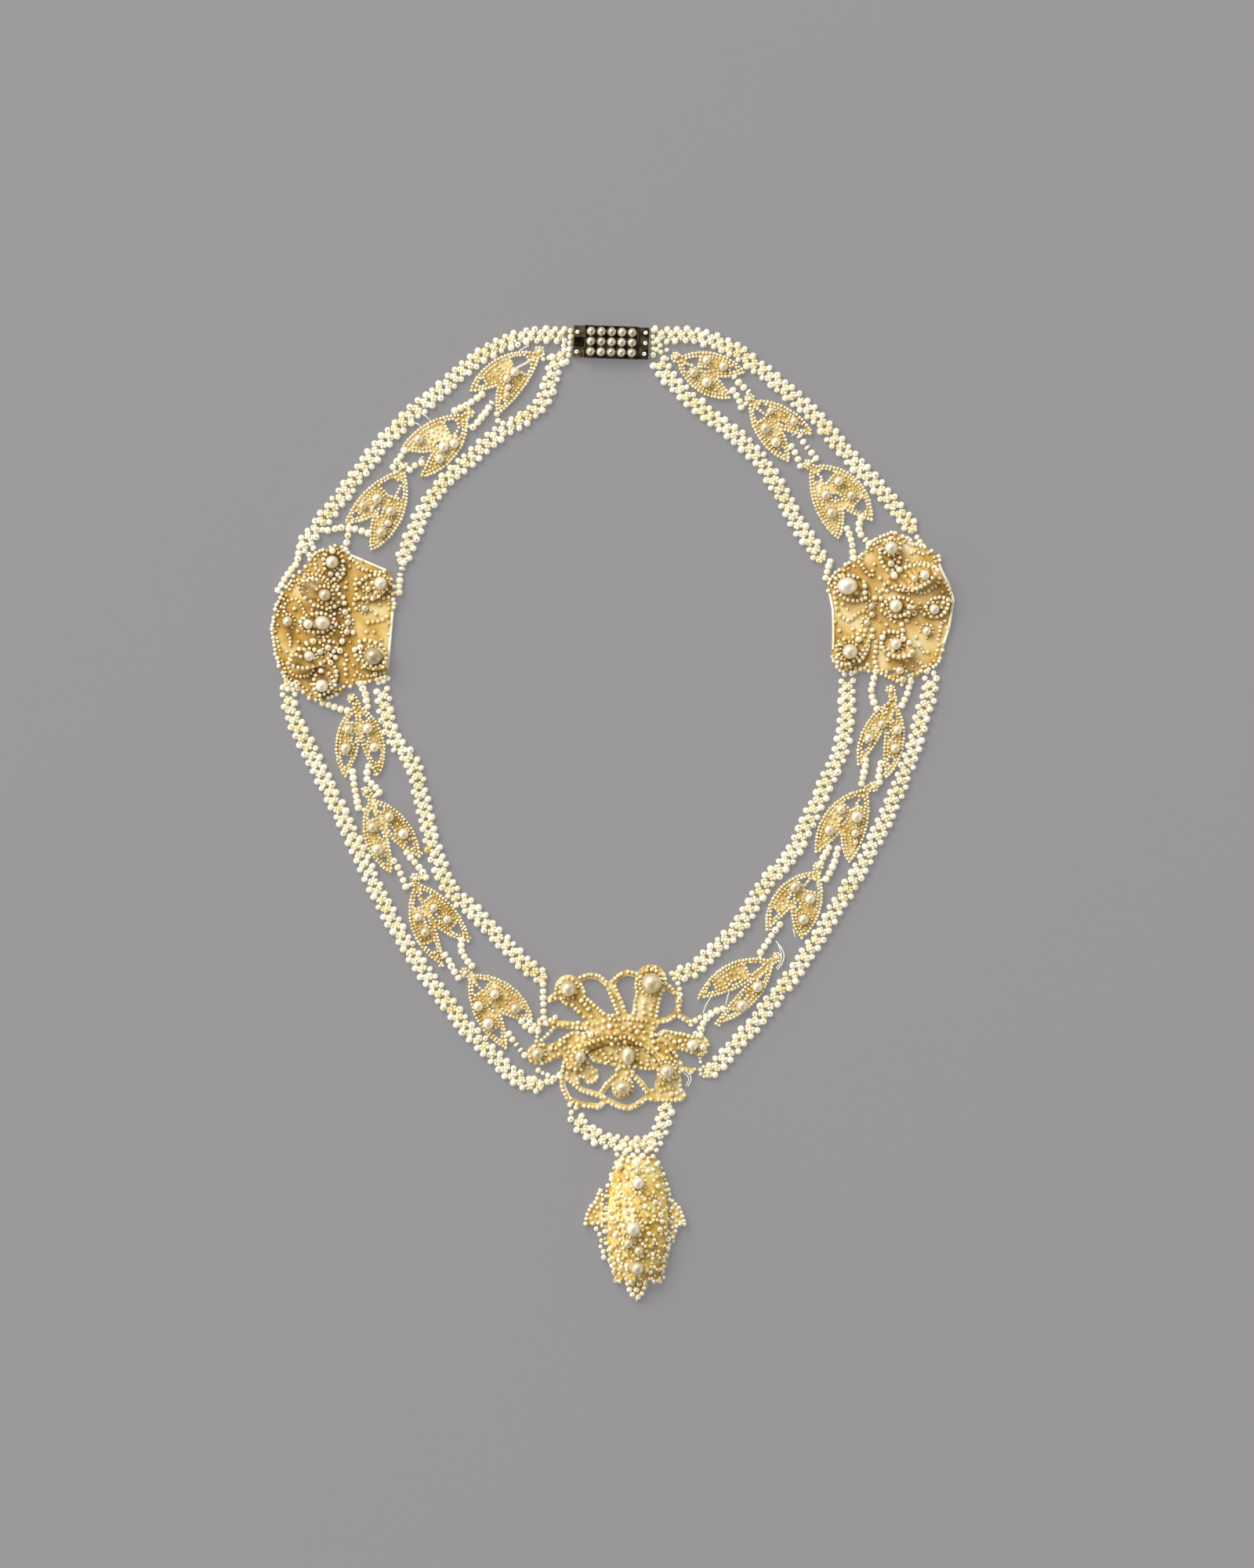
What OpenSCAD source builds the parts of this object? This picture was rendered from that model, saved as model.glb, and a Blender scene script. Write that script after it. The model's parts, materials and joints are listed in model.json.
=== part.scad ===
// Pearl collar necklace, 19th century style, laid flat and fastened.
// X runs to the right, Y up the collar to its clasp, Z up from the table.
// The origin is the middle of the collar's outline, on the table.
// Seed pearls and stitches too small for a solid are left off; each woven band,
// string and plate has the outline and thickness that they give it.

/* [Woven bands] */
// Width of a woven band over its solid core
band_w = 3.5; // [2.4:0.1:3.8]
// Height of a woven band above the table
band_h = 1.6; // [1:0.1:2.2]
// Diameter of a single string of seed pearls
string_d = 1.3; // [0.8:0.1:1.4]

/* [Leaves] */
// Thickness of a mother-of-pearl leaf plate
leaf_t = 0.8; // [0.5:0.1:1.2]
// Width of the rim that frames a leaf's pierced gaps
leaf_rim = 0.9; // [0.6:0.1:1.1]
// Width of the slit beside a leaf's inner rim
slit_w = 0.7; // [0.4:0.1:0.9]
// Radius of the knob at the root of a leaf pair
knob_r = 1.0; // [0.7:0.1:1.2]

/* [Rosettes] */
// Thickness of a rosette's back plate
plate_t = 1.0; // [0.8:0.1:1.4]
// Thickness of a petal's shell
petal_t = 0.5; // [0.3:0.1:0.7]
// Radius of the bowl that a petal is cut from
petal_bowl = 11; // [10:0.5:16]

/* [Centre ornament] */
// Height of the rounded arch above the centre plate
arch_h = 1.6; // [1:0.1:2.4]
// Width of the rounded arch
arch_w = 3.6; // [2.4:0.1:4]
// Width of the thin pierced lines
line_w = 1.2; // [0.9:0.1:1.4]

/* [Clasp] */
// Length of the clasp's box
clasp_l = 11.5; // [10:0.5:13]
// Width of the clasp's box
clasp_w = 6.9; // [6.5:0.1:8]
// Height of the clasp's box to its rim
clasp_h = 2.9; // [2.6:0.1:3.4]
// Diameter of a clasp pearl
clasp_pearl_d = 2.05; // [1.8:0.05:2.1]
// Turn of the clasp about Z, in degrees
clasp_turn = -2; // [-4:1:2]

/* [Pendant] */
// Height of the pendant's body above the table
drop_h = 6; // [4:0.5:8]
// Thickness of the pendant's wings and tip
wing_t = 1.2; // [0.8:0.1:1.6]

/* [Hidden] */
$fn = 96;
play = 0.1;
wide = 60;

function unit(v) = v / norm(v);
function heading(route, i) =
    unit(route[min(i + 1, len(route) - 1)] - route[max(i - 1, 0)]);
function ring(route, profile, i) =
    let (d = heading(route, i))
    [for (p = profile) [route[i].x + d.y * p.x, route[i].y - d.x * p.x, p.y]];

// Centre of the circle through three points
function centre_of(a, b, c) =
    let (
        d = 2 * (a.x * (b.y - c.y) + b.x * (c.y - a.y) + c.x * (a.y - b.y)),
        x = (a * a) * (b.y - c.y) + (b * b) * (c.y - a.y) + (c * c) * (a.y - b.y),
        y = (a * a) * (c.x - b.x) + (b * b) * (a.x - c.x) + (c * c) * (b.x - a.x)
    )
    [x, y] / d;

// Cross-sections, as [across, up] points round the route
bevel = 0.55;
band_profile = [
    [-band_w / 2, bevel], [-band_w / 2 + bevel, 0],
    [band_w / 2 - bevel, 0], [band_w / 2, bevel],
    [band_w / 2, band_h - bevel], [band_w / 2 - bevel, band_h],
    [-band_w / 2 + bevel, band_h], [-band_w / 2, band_h - bevel]
];
string_profile = [
    for (a = [202.5 : 45 : 517.5]) string_d / 2 * [cos(a), 1 + sin(a)]
];

// Middle lines of the woven bands, from the clasp downwards
OUTER_LEFT_UPPER = [
    [-9.1, 101.5], [-16, 101.4], [-21, 100.6], [-27.5, 97.5], [-31, 94.8], [-37.5, 89.1],
    [-43.6, 84], [-49, 78.4], [-54, 72.2], [-58.8, 65.8], [-63.5, 60], [-65.8, 56.9]
];
INNER_LEFT_UPPER = [
    [-9.2, 97.3], [-11.5, 96.5], [-12.9, 93.5], [-13.4, 91], [-15, 87.4], [-17.8, 84.7],
    [-24.5, 80.4], [-30.5, 75.2], [-36.3, 69.9], [-40.7, 63.2], [-43.9, 56], [-44.8, 53.4]
];
OUTER_RIGHT_UPPER = [
    [8.1, 101.6], [12.5, 101.4], [16.5, 101.4], [20.5, 100.6], [24, 99.2], [27, 97.4],
    [30.8, 94.6], [37, 89.4], [43, 84.2], [48, 78.2], [53.4, 72.2], [58.8, 66.3],
    [61.4, 63.1], [63.6, 60.2]
];
INNER_RIGHT_UPPER = [
    [8.9, 96.8], [10, 95.2], [12.5, 91.6], [19.3, 85.3], [25.7, 80.4], [31.3, 74.8],
    [35.7, 68], [39.4, 61], [41.8, 57.7], [44.2, 54]
];
OUTER_LEFT_LOWER = [
    [-69, 26], [-68.6, 22], [-67, 18.2], [-63.5, 11], [-60, 3.8], [-56.4, -3.2], [-53.1, -10.5],
    [-49.6, -17.8], [-45.9, -24.6], [-41.7, -31.6], [-37, -38.2], [-32.2, -44.5],
    [-26.7, -50.4], [-21, -56], [-17.4, -57.9], [-15.6, -57.7]
];
INNER_LEFT_LOWER = [
    [-49.3, 27], [-48.5, 22], [-47.8, 18.5], [-46, 14.6], [-43.8, 12], [-42, 8.6],
    [-41.2, 4.6], [-40.2, 0.7], [-38.4, -7], [-35.6, -14.5], [-33.6, -17.8], [-30.4, -20.2],
    [-24.8, -26.1], [-19.2, -31.8], [-16.2, -34.3], [-14.9, -34.9]
];
INNER_RIGHT_LOWER = [
    [49.8, 29], [49.7, 25], [49.7, 21.1], [48.4, 13.2], [45.1, 5.8], [41.7, -1.4],
    [38.1, -8.6], [32.6, -14.8], [28.6, -21.3], [26.2, -24.8], [20.4, -30.3],
    [17.3, -33.1], [13.8, -34.6]
];
OUTER_RIGHT_LOWER = [
    [67.5, 29.4], [67.2, 25.5], [66, 21.7], [63.9, 14.2], [61.3, 6.7], [59.7, 2.8],
    [56.3, -4.4], [52.7, -11.4], [48.6, -18.3], [44.4, -25.1], [40.1, -31.8], [35, -38.4],
    [30.3, -44.6], [27.6, -47.5], [22.5, -53.3], [20.2, -55.3]
];
PENDANT_SWAG = [
    [-8.3, -63.8], [-6.5, -66.8], [-3.3, -69], [0.7, -70.2], [4.8, -70.6], [8.8, -69.7],
    [10.4, -66], [11.5, -62.3]
];

// Short strings of seed pearls that link the leaves, [point, point, point]
STRINGS_LEFT_UPPER = [
    [[-28.5, 88.4], [-30.5, 87], [-33, 85.7]],
    [[-26.2, 86.5], [-27.5, 84.5], [-29.2, 82.6]],
    [[-44.8, 76.2], [-45.6, 75], [-46.3, 74.1]],
    [[-41.4, 74], [-42.1, 73.7], [-42.7, 73.2]],
    [[-59.8, 60], [-56.5, 60.6], [-52.9, 59.6]],
    [[-56.2, 59.6], [-56.5, 58], [-56.9, 56.6]],
    [[-66.8, 55.7], [-67.4, 52.8], [-68.9, 50.9], [-70.8, 48]],
    [[-44.8, 52.3], [-45.3, 50], [-45.5, 47.6]]
];
STRINGS_RIGHT_UPPER = [
    [[26.2, 92], [27, 91], [28.2, 89.9]],
    [[25.8, 89], [26.6, 87.9], [26.9, 86.9]],
    [[40, 79.3], [41, 77.8], [42.6, 75.9]],
    [[38.2, 77.2], [39, 75.8], [39.5, 74.4]],
    [[52.5, 61.8], [52.2, 60.5], [52.7, 59], [53.8, 57.8]],
    [[49.9, 59.6], [50.6, 57.8], [51, 55]],
    [[45.9, 52.6], [45.6, 51.8], [45.4, 50.8]]
];
STRINGS_LEFT_LOWER = [
    [[-61, 23.1], [-59, 22.4], [-57.4, 21.9]],
    [[-53.4, 26.7], [-52.7, 25.2], [-52.4, 23.4]],
    [[-55.3, 7.8], [-55, 5.5], [-54.7, 3.5], [-54.3, 1.8]],
    [[-52.2, 9], [-52.4, 7.3], [-51.2, 6], [-50.2, 4.9]],
    [[-46.2, -11], [-45.3, -12.7], [-44.4, -15]],
    [[-43.4, -9.1], [-41.8, -11], [-40.2, -13.1]],
    [[-35.3, -31], [-34.3, -32.7], [-33.4, -34.3]],
    [[-32.2, -27.9], [-32, -30], [-30.6, -31.9]],
    [[-21.8, -47.7], [-20.6, -49.3], [-19.3, -51]],
    [[-19, -44.9], [-18, -46], [-16.8, -46.2]],
    [[-14.9, -37.3], [-14.9, -39.8], [-14.8, -42.8]],
    [[-14.8, -57.5], [-13.3, -56.8], [-12, -56.2]]
];
STRINGS_RIGHT_LOWER = [
    [[55.6, 29.2], [55, 26.5], [55.1, 24.3], [55.7, 22.9]],
    [[63, 27.1], [62.4, 25], [61.7, 23.6]],
    [[53.6, 10.3], [53.3, 8.6], [52.9, 7]],
    [[56.8, 9.6], [56.5, 8.2], [56.6, 7.2]],
    [[45.4, -8.2], [44.9, -9], [44.5, -9.9]],
    [[47.5, -8.4], [46.9, -10.7], [45.6, -13.4]],
    [[34.9, -24.5], [33.4, -26.6], [31.8, -29]],
    [[22.5, -42], [20.6, -43], [19.3, -44.6], [18.7, -46.6]]
];

// Leaf pairs. Each leaf is a pointed oval between its root and its tip, through one
// point on each edge. Gaps are stretches of its length, as fractions from the root.
// Columns of a pair: knob, root, first leaf, second leaf, pearls as [x, y, diameter].
// Columns of a leaf: tip, outer edge, inner edge, root gap, tip gap, slit.
LEFT_UPPER_LEAVES = [
    [[-15.7, 98.1], [-15.5, 97.5],
        [[-30.5, 89.5], [-23.5, 97], [-25, 90.5], [0.17, 0.36], [0.78, 0.88], [0, 0]],
        [[-24.6, 84.6], [-18.5, 91], [-24.5, 90.5], [0.2, 0.34], [0.8, 0.92], [0, 0]],
        [[-20.9, 93.6, 2], [-22.6, 92.2, 1.8], [-22.3, 90.4, 1.4], [-22.6, 88.7, 1.4]]],
    [[-30.6, 84.9], [-31, 84.5],
        [[-45, 77.5], [-39, 83], [-40, 76.5], [0.18, 0.32], [0, 0], [0.48, 0.58]],
        [[-41, 71.2], [-33.4, 75.9], [-39, 75.5], [0.16, 0.3], [0, 0], [0, 0]],
        [[-41.4, 79.3, 2.1], [-33.8, 78.4, 2], [-36.9, 75.2, 2], [-36.1, 77.7, 2.2]]],
    [[-44.6, 73.5], [-44.5, 73],
        [[-57, 61.5], [-52.5, 68.5], [-52, 62.5], [0.16, 0.36], [0.8, 0.9], [0.54, 0.64]],
        [[-51.5, 55.5], [-44.5, 63.5], [-51.5, 61], [0.14, 0.33], [0, 0], [0.5, 0.6]],
        [[-50.2, 66.7, 2.2], [-53.2, 65.2, 1.8], [-47.3, 64, 2.2], [-47.9, 61.5, 1.6],
            [-49.3, 59.6, 2.3]]]
];
RIGHT_UPPER_LEAVES = [
    [[13.3, 96.8], [13.5, 96.5],
        [[28.1, 93.6], [19.4, 97.9], [23, 92.5], [0.13, 0.32], [0.78, 0.88], [0.38, 0.48]],
        [[25, 88], [17.5, 90], [22, 92.5], [0.09, 0.25], [0, 0], [0, 0]],
        [[19.8, 96.1, 1.8], [23.4, 94.8, 2], [17.1, 93.5, 2], [19.8, 91.4, 2.2]]],
    [[29, 88], [29, 87.5],
        [[42.5, 80.5], [37, 86], [37, 81], [0.14, 0.28], [0.77, 0.87], [0.5, 0.6]],
        [[37.5, 74.5], [31, 79.5], [36.5, 80], [0.11, 0.3], [0.77, 0.87], [0, 0]],
        [[32.3, 81.7, 2.3], [34.5, 78.7, 2.2], [33.4, 85.3, 1.6], [38.4, 83.1, 1.8]]],
    [[41.5, 74], [42, 73.5],
        [[55, 62], [51.3, 71.3], [50, 64], [0.12, 0.27], [0.72, 0.86], [0.44, 0.54]],
        [[48, 58], [43, 64.5], [49, 63.5], [0.1, 0.2], [0, 0], [0.42, 0.52]],
        [[47.9, 70.4, 2], [50.6, 67.4, 2], [45.1, 67.5, 2], [46.4, 63.7, 2.2]]]
];
LEFT_LOWER_LEAVES = [
    [[-55.5, 24.3], [-54.5, 23],
        [[-57, 7.5], [-59, 13.5], [-54.5, 12.5], [0.08, 0.25], [0.7, 0.85], [0.38, 0.53]],
        [[-50, 7.5], [-48.5, 13.5], [-52.5, 12], [0.09, 0.24], [0.65, 0.8], [0.4, 0.5]],
        [[-56.3, 17.7, 2], [-52.2, 17.9, 2.2], [-56.9, 13.7, 2.3], [-50.8, 13.9, 2]]],
    [[-52.5, 4.5], [-51.5, 3],
        [[-47, -12.9], [-52.9, -5.4], [-47.5, -7], [0.14, 0.26], [0.76, 0.86], [0.42, 0.54]],
        [[-41, -9.5], [-44.5, -1], [-45.5, -7], [0.08, 0.22], [0.74, 0.84], [0.4, 0.55]],
        [[-47.6, -0.9, 2.1], [-51.2, -3.1, 2.2], [-44.6, -4.5, 2.3], [-50.1, -7.8, 2.5]]],
    [[-42.1, -14], [-42, -15],
        [[-36, -32.5], [-43, -24], [-37, -27], [0.1, 0.27], [0.7, 0.82], [0.4, 0.52]],
        [[-30.5, -27.5], [-34.5, -19.5], [-35, -26], [0.1, 0.24], [0.72, 0.86], [0.42, 0.54]],
        [[-38.1, -20.2, 1.8], [-41.5, -22.2, 1.8], [-35.3, -22.7, 1.8], [-40, -25.4, 2]]],
    [[-31.5, -34], [-30.5, -34.5],
        [[-22.6, -50.3], [-29, -44], [-23.5, -44], [0.1, 0.24], [0.72, 0.85], [0.42, 0.5]],
        [[-17, -44], [-21.5, -37], [-21.5, -43.5], [0.1, 0.26], [0.8, 0.88], [0, 0]],
        [[-25.2, -38.6, 2.1], [-28.7, -41.1, 2.2], [-20.8, -41.6, 2.2], [-26.6, -44.8, 2.4]]]
];
RIGHT_LOWER_LEAVES = [
    [[59, 26], [59.5, 24],
        [[52, 10], [53.5, 18.5], [55, 13.5], [0.09, 0.22], [0.68, 0.8], [0, 0]],
        [[58, 7.2], [61.9, 16.6], [57.5, 13.5], [0.1, 0.26], [0.73, 0.83], [0.4, 0.5]],
        [[57.1, 18.8, 2], [60.4, 17.6, 2], [54.3, 15.9, 1.9], [59.9, 13.7, 2.1]]],
    [[55.4, 5.5], [54, 5],
        [[43, -8.5], [46, 1], [47, -5.5], [0.14, 0.32], [0, 0], [0.43, 0.55]],
        [[50.2, -10.8], [53.8, -3.4], [48.5, -6.5], [0.09, 0.24], [0, 0], [0, 0]],
        [[48.4, 0.7, 2], [51.7, -0.9, 2.5], [45.9, -3.7, 2.2], [51.4, -4.4, 1.8],
            [51.5, -6.3, 1.2]]],
    [[43.5, -11.5], [43.5, -12.5],
        [[32.5, -25], [36.5, -15], [36, -22], [0.1, 0.26], [0.72, 0.85], [0.43, 0.53]],
        [[40, -26.8], [44.3, -19.4], [38, -22.5], [0.13, 0.3], [0, 0], [0.48, 0.6]],
        [[38.6, -15.8, 2.3], [41.8, -18.3, 2.2], [40.4, -22.7, 2.3]]],
    [[34.8, -30.7], [34, -31.5],
        [[18, -39.5], [25, -32], [24.5, -38], [0.13, 0.32], [0.76, 0.87], [0.46, 0.58]],
        [[21.6, -44.9], [30.4, -39.9], [24.5, -41], [0.12, 0.28], [0.74, 0.84], [0.5, 0.6]],
        [[30.6, -37, 2.3], [27.4, -41, 2.5]]]
];

// Outlines of the rosettes' back plates
LEFT_PLATE = [
    [-64, 54.5], [-61.5, 56], [-59, 56.8], [-57, 56.1], [-56, 55], [-47.8, 51.5],
    [-46.7, 48.5], [-46.6, 43.5], [-47, 39], [-47.5, 33.5], [-48, 29.3], [-50.5, 28],
    [-54.5, 27.6], [-56.5, 26.5], [-58, 25.3], [-60.5, 24.4], [-63, 23.8], [-65, 24.6],
    [-66.8, 26.5], [-69.5, 28], [-71, 31], [-72, 35], [-72.5, 38.5], [-72.2, 42],
    [-71, 45.5], [-68, 50], [-65.5, 52]
];
RIGHT_PLATE = [
    [57.5, 58.9], [59, 59.5], [61.2, 59], [63, 57.8], [66, 56.5], [69, 54.5], [70, 51.5],
    [71.5, 48.5], [72.5, 45.5], [72, 42], [71.5, 39], [70, 34.5], [69, 31.5], [65, 29.3],
    [63, 28.1], [61.5, 27], [60, 27.6], [58, 28.5], [56, 30], [51.5, 30], [48.5, 30],
    [47, 31.5], [46.5, 33.5], [46.6, 38], [46.5, 43], [45.6, 47.5], [46, 49.5],
    [48.5, 52], [52.5, 54.5], [55, 57.5]
];
LEFT_PLATE_GAPS = [[[-59.6, 26.6], [-58, 27.2], 0.8], [[-66.5, 50.6], [-65.7, 51], 0.4]];
RIGHT_PLATE_GAPS = [[[57.6, 29.8], [59.2, 29.8], 0.8], [[62.6, 29.9], [63.8, 29.9], 0.7]];

// Petals, as [root, tip, width across, height of the root above the plate]
LEFT_PETALS = [
    [[-57.2, 44.5], [-67, 48.4], 6.2, 0.1],
    [[-58.4, 40.6], [-67, 40], 4.6, 0.1],
    [[-58.2, 36], [-69.2, 31.2], 5.6, 0.1],
    [[-58.5, 49], [-60, 56.2], 4.8, 0.1],
    [[-55, 46], [-47.6, 49.8], 5.4, 0.1],
    [[-55, 36.4], [-48.2, 31], 6.2, 0.1],
    [[-59.4, 32], [-63, 24.6], 5, 0.1]
];
RIGHT_PETALS = [
    [[57.5, 48.2], [69.2, 51.6], 5.6, 0.1],
    [[56.4, 43.4], [64.5, 44], 4.6, 0.1],
    [[56.6, 38], [63.4, 33.4], 5.6, 0.1],
    [[58.8, 50.8], [58.8, 58.6], 4.8, 0.1],
    [[54.6, 46], [46.6, 49.4], 5.6, 0.1],
    [[54.4, 37.6], [47.2, 31.6], 6, 0.1],
    [[66, 41.8], [71.4, 45.4], 4.4, 0.1]
];

// Pearls of an ornament, as [x, y, diameter, number of the petal that holds it, or -1]
LEFT_ROSETTE_PEARLS = [
    [-59.7, 53.2, 2.7, 3], [-60, 50.7, 1.2, 3], [-49.4, 48.7, 2.7, 4],
    [-61.3, 46.2, 2.5, 0], [-61.8, 40.3, 2.9, 1], [-64.8, 40, 2.1, 1],
    [-69.2, 40.6, 2.2, -1], [-50.9, 33.2, 3.5, 5], [-64.6, 33.2, 2.2, 2],
    [-61.9, 26.9, 2.7, 6], [-57, 42.6, 1.4, -1], [-56.4, 40.4, 1.4, -1],
    [-56.6, 38.4, 1.4, -1], [-60.6, 35, 1.4, 2], [-62.3, 34.1, 1.4, 2],
    [-52.8, 43.4, 1.5, -1], [-52, 47.5, 1.3, 4]
];
RIGHT_ROSETTE_PEARLS = [
    [59, 56.2, 2.8, 3], [49.6, 48.1, 3.6, 4], [60, 43.9, 2.8, 1], [66.1, 50.4, 2.1, 0],
    [64, 49.7, 1.6, 0], [68.2, 43.2, 2.2, 6], [66.6, 38.6, 1.9, -1], [60, 35.8, 2.5, 2],
    [50.2, 34.2, 3.2, 5], [53.9, 40.4, 1.4, -1], [60.9, 30.2, 1.8, -1], [61.5, 28.3, 1.6, -1],
    [54.9, 43.9, 1.4, -1], [55, 42.1, 1.4, -1], [59, 52.9, 1.5, 3]
];
CENTRE_PEARLS = [
    [-9.6, -37.4, 3.3, -1], [8.1, -36.2, 4.2, -1], [-16.1, -51.2, 2.5, -1],
    [16.8, -49.4, 2.4, -1], [19.1, -49.8, 1.6, -1], [3.1, -51.6, 3, -1]
];
CUP_PEARL = [2, -58.4, 2.9];
ARCH_PEARLS = [[-7, -51.8, 2.4], [11.3, -54.9, 3]];

// Route of the rounded arch over the centre plate
ARCH = [
    [-8.6, -54.6], [-8, -51.5], [-6, -49.2], [-2.5, -47.8], [2, -47.3],
    [6.4, -48.2], [9.8, -50.4], [11.6, -53.4], [12, -56.6]
];

// Strokes of the centre plate, as [width, points]
CENTRE_STROKES = [
    [5.8, [[-9.5, -37.4], [-8.8, -38.4]]],
    [4, [[-8.8, -39], [-3.5, -43.6]]],
    [1.5, [[-11.5, -38.5], [-13.2, -39.6]]],
    [line_w, [[-7, -35.3], [-5, -34.6], [-3, -35], [-1.2, -36.6]]],
    [2.2, [[-0.5, -36.8], [2, -43]]],
    [line_w, [[0, -36], [1.4, -34.6], [3, -34], [5.5, -34.6]]],
    [6.6, [[8, -35.6], [7.8, -36.6]]],
    [5.6, [[7.6, -38], [6.8, -42.6]]],
    [line_w, [[11, -36.5], [13.5, -38.5], [14, -40.5], [13.5, -42.7], [11.5, -44], [8, -44.6]]],
    [line_w, [[13.5, -42.7], [16.2, -44.4]]],
    [1.6, [[-15.4, -44.4], [-11.5, -45], [-5.5, -45.4]]],
    [3.4, [[-4.4, -44.4], [8, -44.6]]],
    [4.6, [[-16, -51.4], [-15.4, -51.3]]],
    [3.4, [[-15, -51.3], [-12, -50.5], [-8, -48]]],
    [4.4, [[18.2, -49.5], [17.8, -49.4]]],
    [3.8, [[17.4, -49.4], [14.5, -48.7], [11, -48]]],
    [5, [[-8.6, -54.6], [-8, -51.5], [-6, -49.2], [-2.5, -47.8], [2, -47.3],
        [6.4, -48.2], [9.8, -50.4], [11.6, -53.4], [12, -57.6]]],
    [4.6, [[-3, -51], [3, -52], [8, -52.5]]],
    [3.4, [[-7.2, -52.5], [-6, -54.6], [-4.8, -55.9]]],
    [3.2, [[2.2, -52], [2, -57]]],
    [4.6, [[2, -58.2], [2, -58.5]]],
    [line_w, [[-11, -55.5], [-10.6, -58.5], [-9.5, -60.8], [-7, -62], [-3, -62.4], [-1.5, -61]]],
    [line_w, [[-9.5, -56.5], [-6.5, -59], [-3, -60], [-1.5, -61]]],
    [line_w, [[-2.8, -60], [-1.5, -58], [0, -56.5], [1.5, -55.5]]],
    [line_w, [[-1.5, -61], [0.8, -62.1], [3, -62.8], [5, -62.1], [7.5, -60.2]]],
    [line_w, [[3.5, -55], [6, -57.5], [7.8, -60]]],
    [2.8, [[8.5, -60], [14, -60]]],
    [4, [[10.8, -58], [12.4, -58]]],
    [line_w, [[13.5, -52.5], [14.8, -54.5], [16.6, -54.9]]]
];

// Pendant's body, as [y, half width, share of the full height]
DROP_X = 5.2;
DROP_ROWS = [
    [-72.7, 3, 0.35], [-74, 4.3, 0.48], [-77.3, 5.8, 0.72], [-80.6, 6.6, 0.9],
    [-84.5, 6.9, 0.98], [-88, 7, 1], [-91.8, 7, 0.94], [-95, 6.6, 0.8], [-98, 5.7, 0.6],
    [-99.6, 4.4, 0.42]
];
DROP_SIDES = [for (a = [0 : 22.5 : 180]) [cos(a), sin(a)]];
LEFT_WING = [
    [-2.2, -81], [-3, -79.6], [-3.6, -82.4], [-4.8, -83.6], [-5.8, -85.8],
    [-6.1, -87.6], [-4.6, -87.4], [-3.4, -87.2], [-2.2, -88]
];
RIGHT_WING = [
    [12.4, -82.2], [13.2, -83], [14.4, -84.4], [15.3, -87.6], [13.6, -87.4],
    [13.2, -89.4], [12.5, -91]
];
DROP_TIP = [[3, -99.9], [7, -99.9], [6.6, -101.6], [5, -103.9], [3.4, -101.6]];
// Pearls down the pendant's middle, as [x, y, diameter]
DROP_PEARLS = [
    [5.1, -76.1, 1.4], [5.3, -78.4, 2.6], [4.2, -88.1, 3.1], [3.2, -91.2, 2],
    [5.4, -92.8, 2], [5.1, -96.6, 2.9]
];

function leaf_names(prefix, count) = [for (i = [1 : count]) str(prefix, i)];
UL_NAMES = leaf_names("leaf_pair_left_upper_", 3);
UR_NAMES = leaf_names("leaf_pair_right_upper_", 3);
LL_NAMES = leaf_names("leaf_pair_left_lower_", 4);
LR_NAMES = leaf_names("leaf_pair_right_lower_", 4);

// A solid of one cross-section swept along a flat route
module sweep(route, profile) {
    n = len(profile);
    last = len(route) - 1;
    points = [for (i = [0 : last]) each ring(route, profile, i)];
    sides = [
        for (i = [0 : last - 1], j = [0 : n - 1])
            let (k = (j + 1) % n)
            [i * n + k, i * n + j, (i + 1) * n + j, (i + 1) * n + k]
    ];
    start = [[for (j = [0 : n - 1]) j]];
    end = [[for (j = [n - 1 : -1 : 0]) last * n + j]];
    polyhedron(points, concat(start, end, sides));
}

module band(route) {
    color("ivory") sweep(route, band_profile);
}

module link_strings(routes) {
    color("ivory")
        for (route = routes)
            sweep(route, string_profile);
}

// Disc of the circle through three points, taken in by an inset
module disc(a, b, c, inset) {
    centre = centre_of(a, b, c);
    translate(centre) circle(r = norm(a - centre) - inset, $fn = 180);
}

module leaf_shape(root, leaf, inset) {
    intersection() {
        disc(root, leaf[1], leaf[0], inset);
        disc(root, leaf[2], leaf[0], inset);
    }
}

// The stretch of a leaf between two fractions of its length
module stretch(root, leaf, span) {
    along = leaf[0] - root;
    reach = norm(along);
    translate(root) rotate(atan2(along.y, along.x))
        translate([span[0] * reach, -wide / 2])
        square([(span[1] - span[0]) * reach, wide]);
}

module gap(root, leaf, span) {
    if (span[1] > 0)
        intersection() {
            leaf_shape(root, leaf, leaf_rim);
            stretch(root, leaf, span);
        }
}

module slit(root, leaf, span) {
    if (span[1] > 0)
        difference() {
            gap(root, leaf, span);
            disc(root, leaf[2], leaf[0], leaf_rim + slit_w);
        }
}

module leaf_gaps(root, leaf) {
    gap(root, leaf, leaf[3]);
    gap(root, leaf, leaf[4]);
    slit(root, leaf, leaf[5]);
}

module leaf_pair(pair) {
    knob = pair[0];
    root = pair[1];
    color("goldenrod") linear_extrude(leaf_t) {
        difference() {
            union() {
                leaf_shape(root, pair[2], 0);
                leaf_shape(root, pair[3], 0);
                stroke(1.5 * knob_r, [knob, root]);
            }
            leaf_gaps(root, pair[2]);
            leaf_gaps(root, pair[3]);
        }
        translate(knob) circle(r = knob_r);
    }
}

module pearl(x, y, z, d) {
    translate([x, y, z]) sphere(d = d);
}

module leaf_pearls(pairs) {
    color("white")
        for (pair = pairs, p = pair[4])
            pearl(p.x, p.y, leaf_t + play / 2 + p.z / 2, p.z);
}

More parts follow.
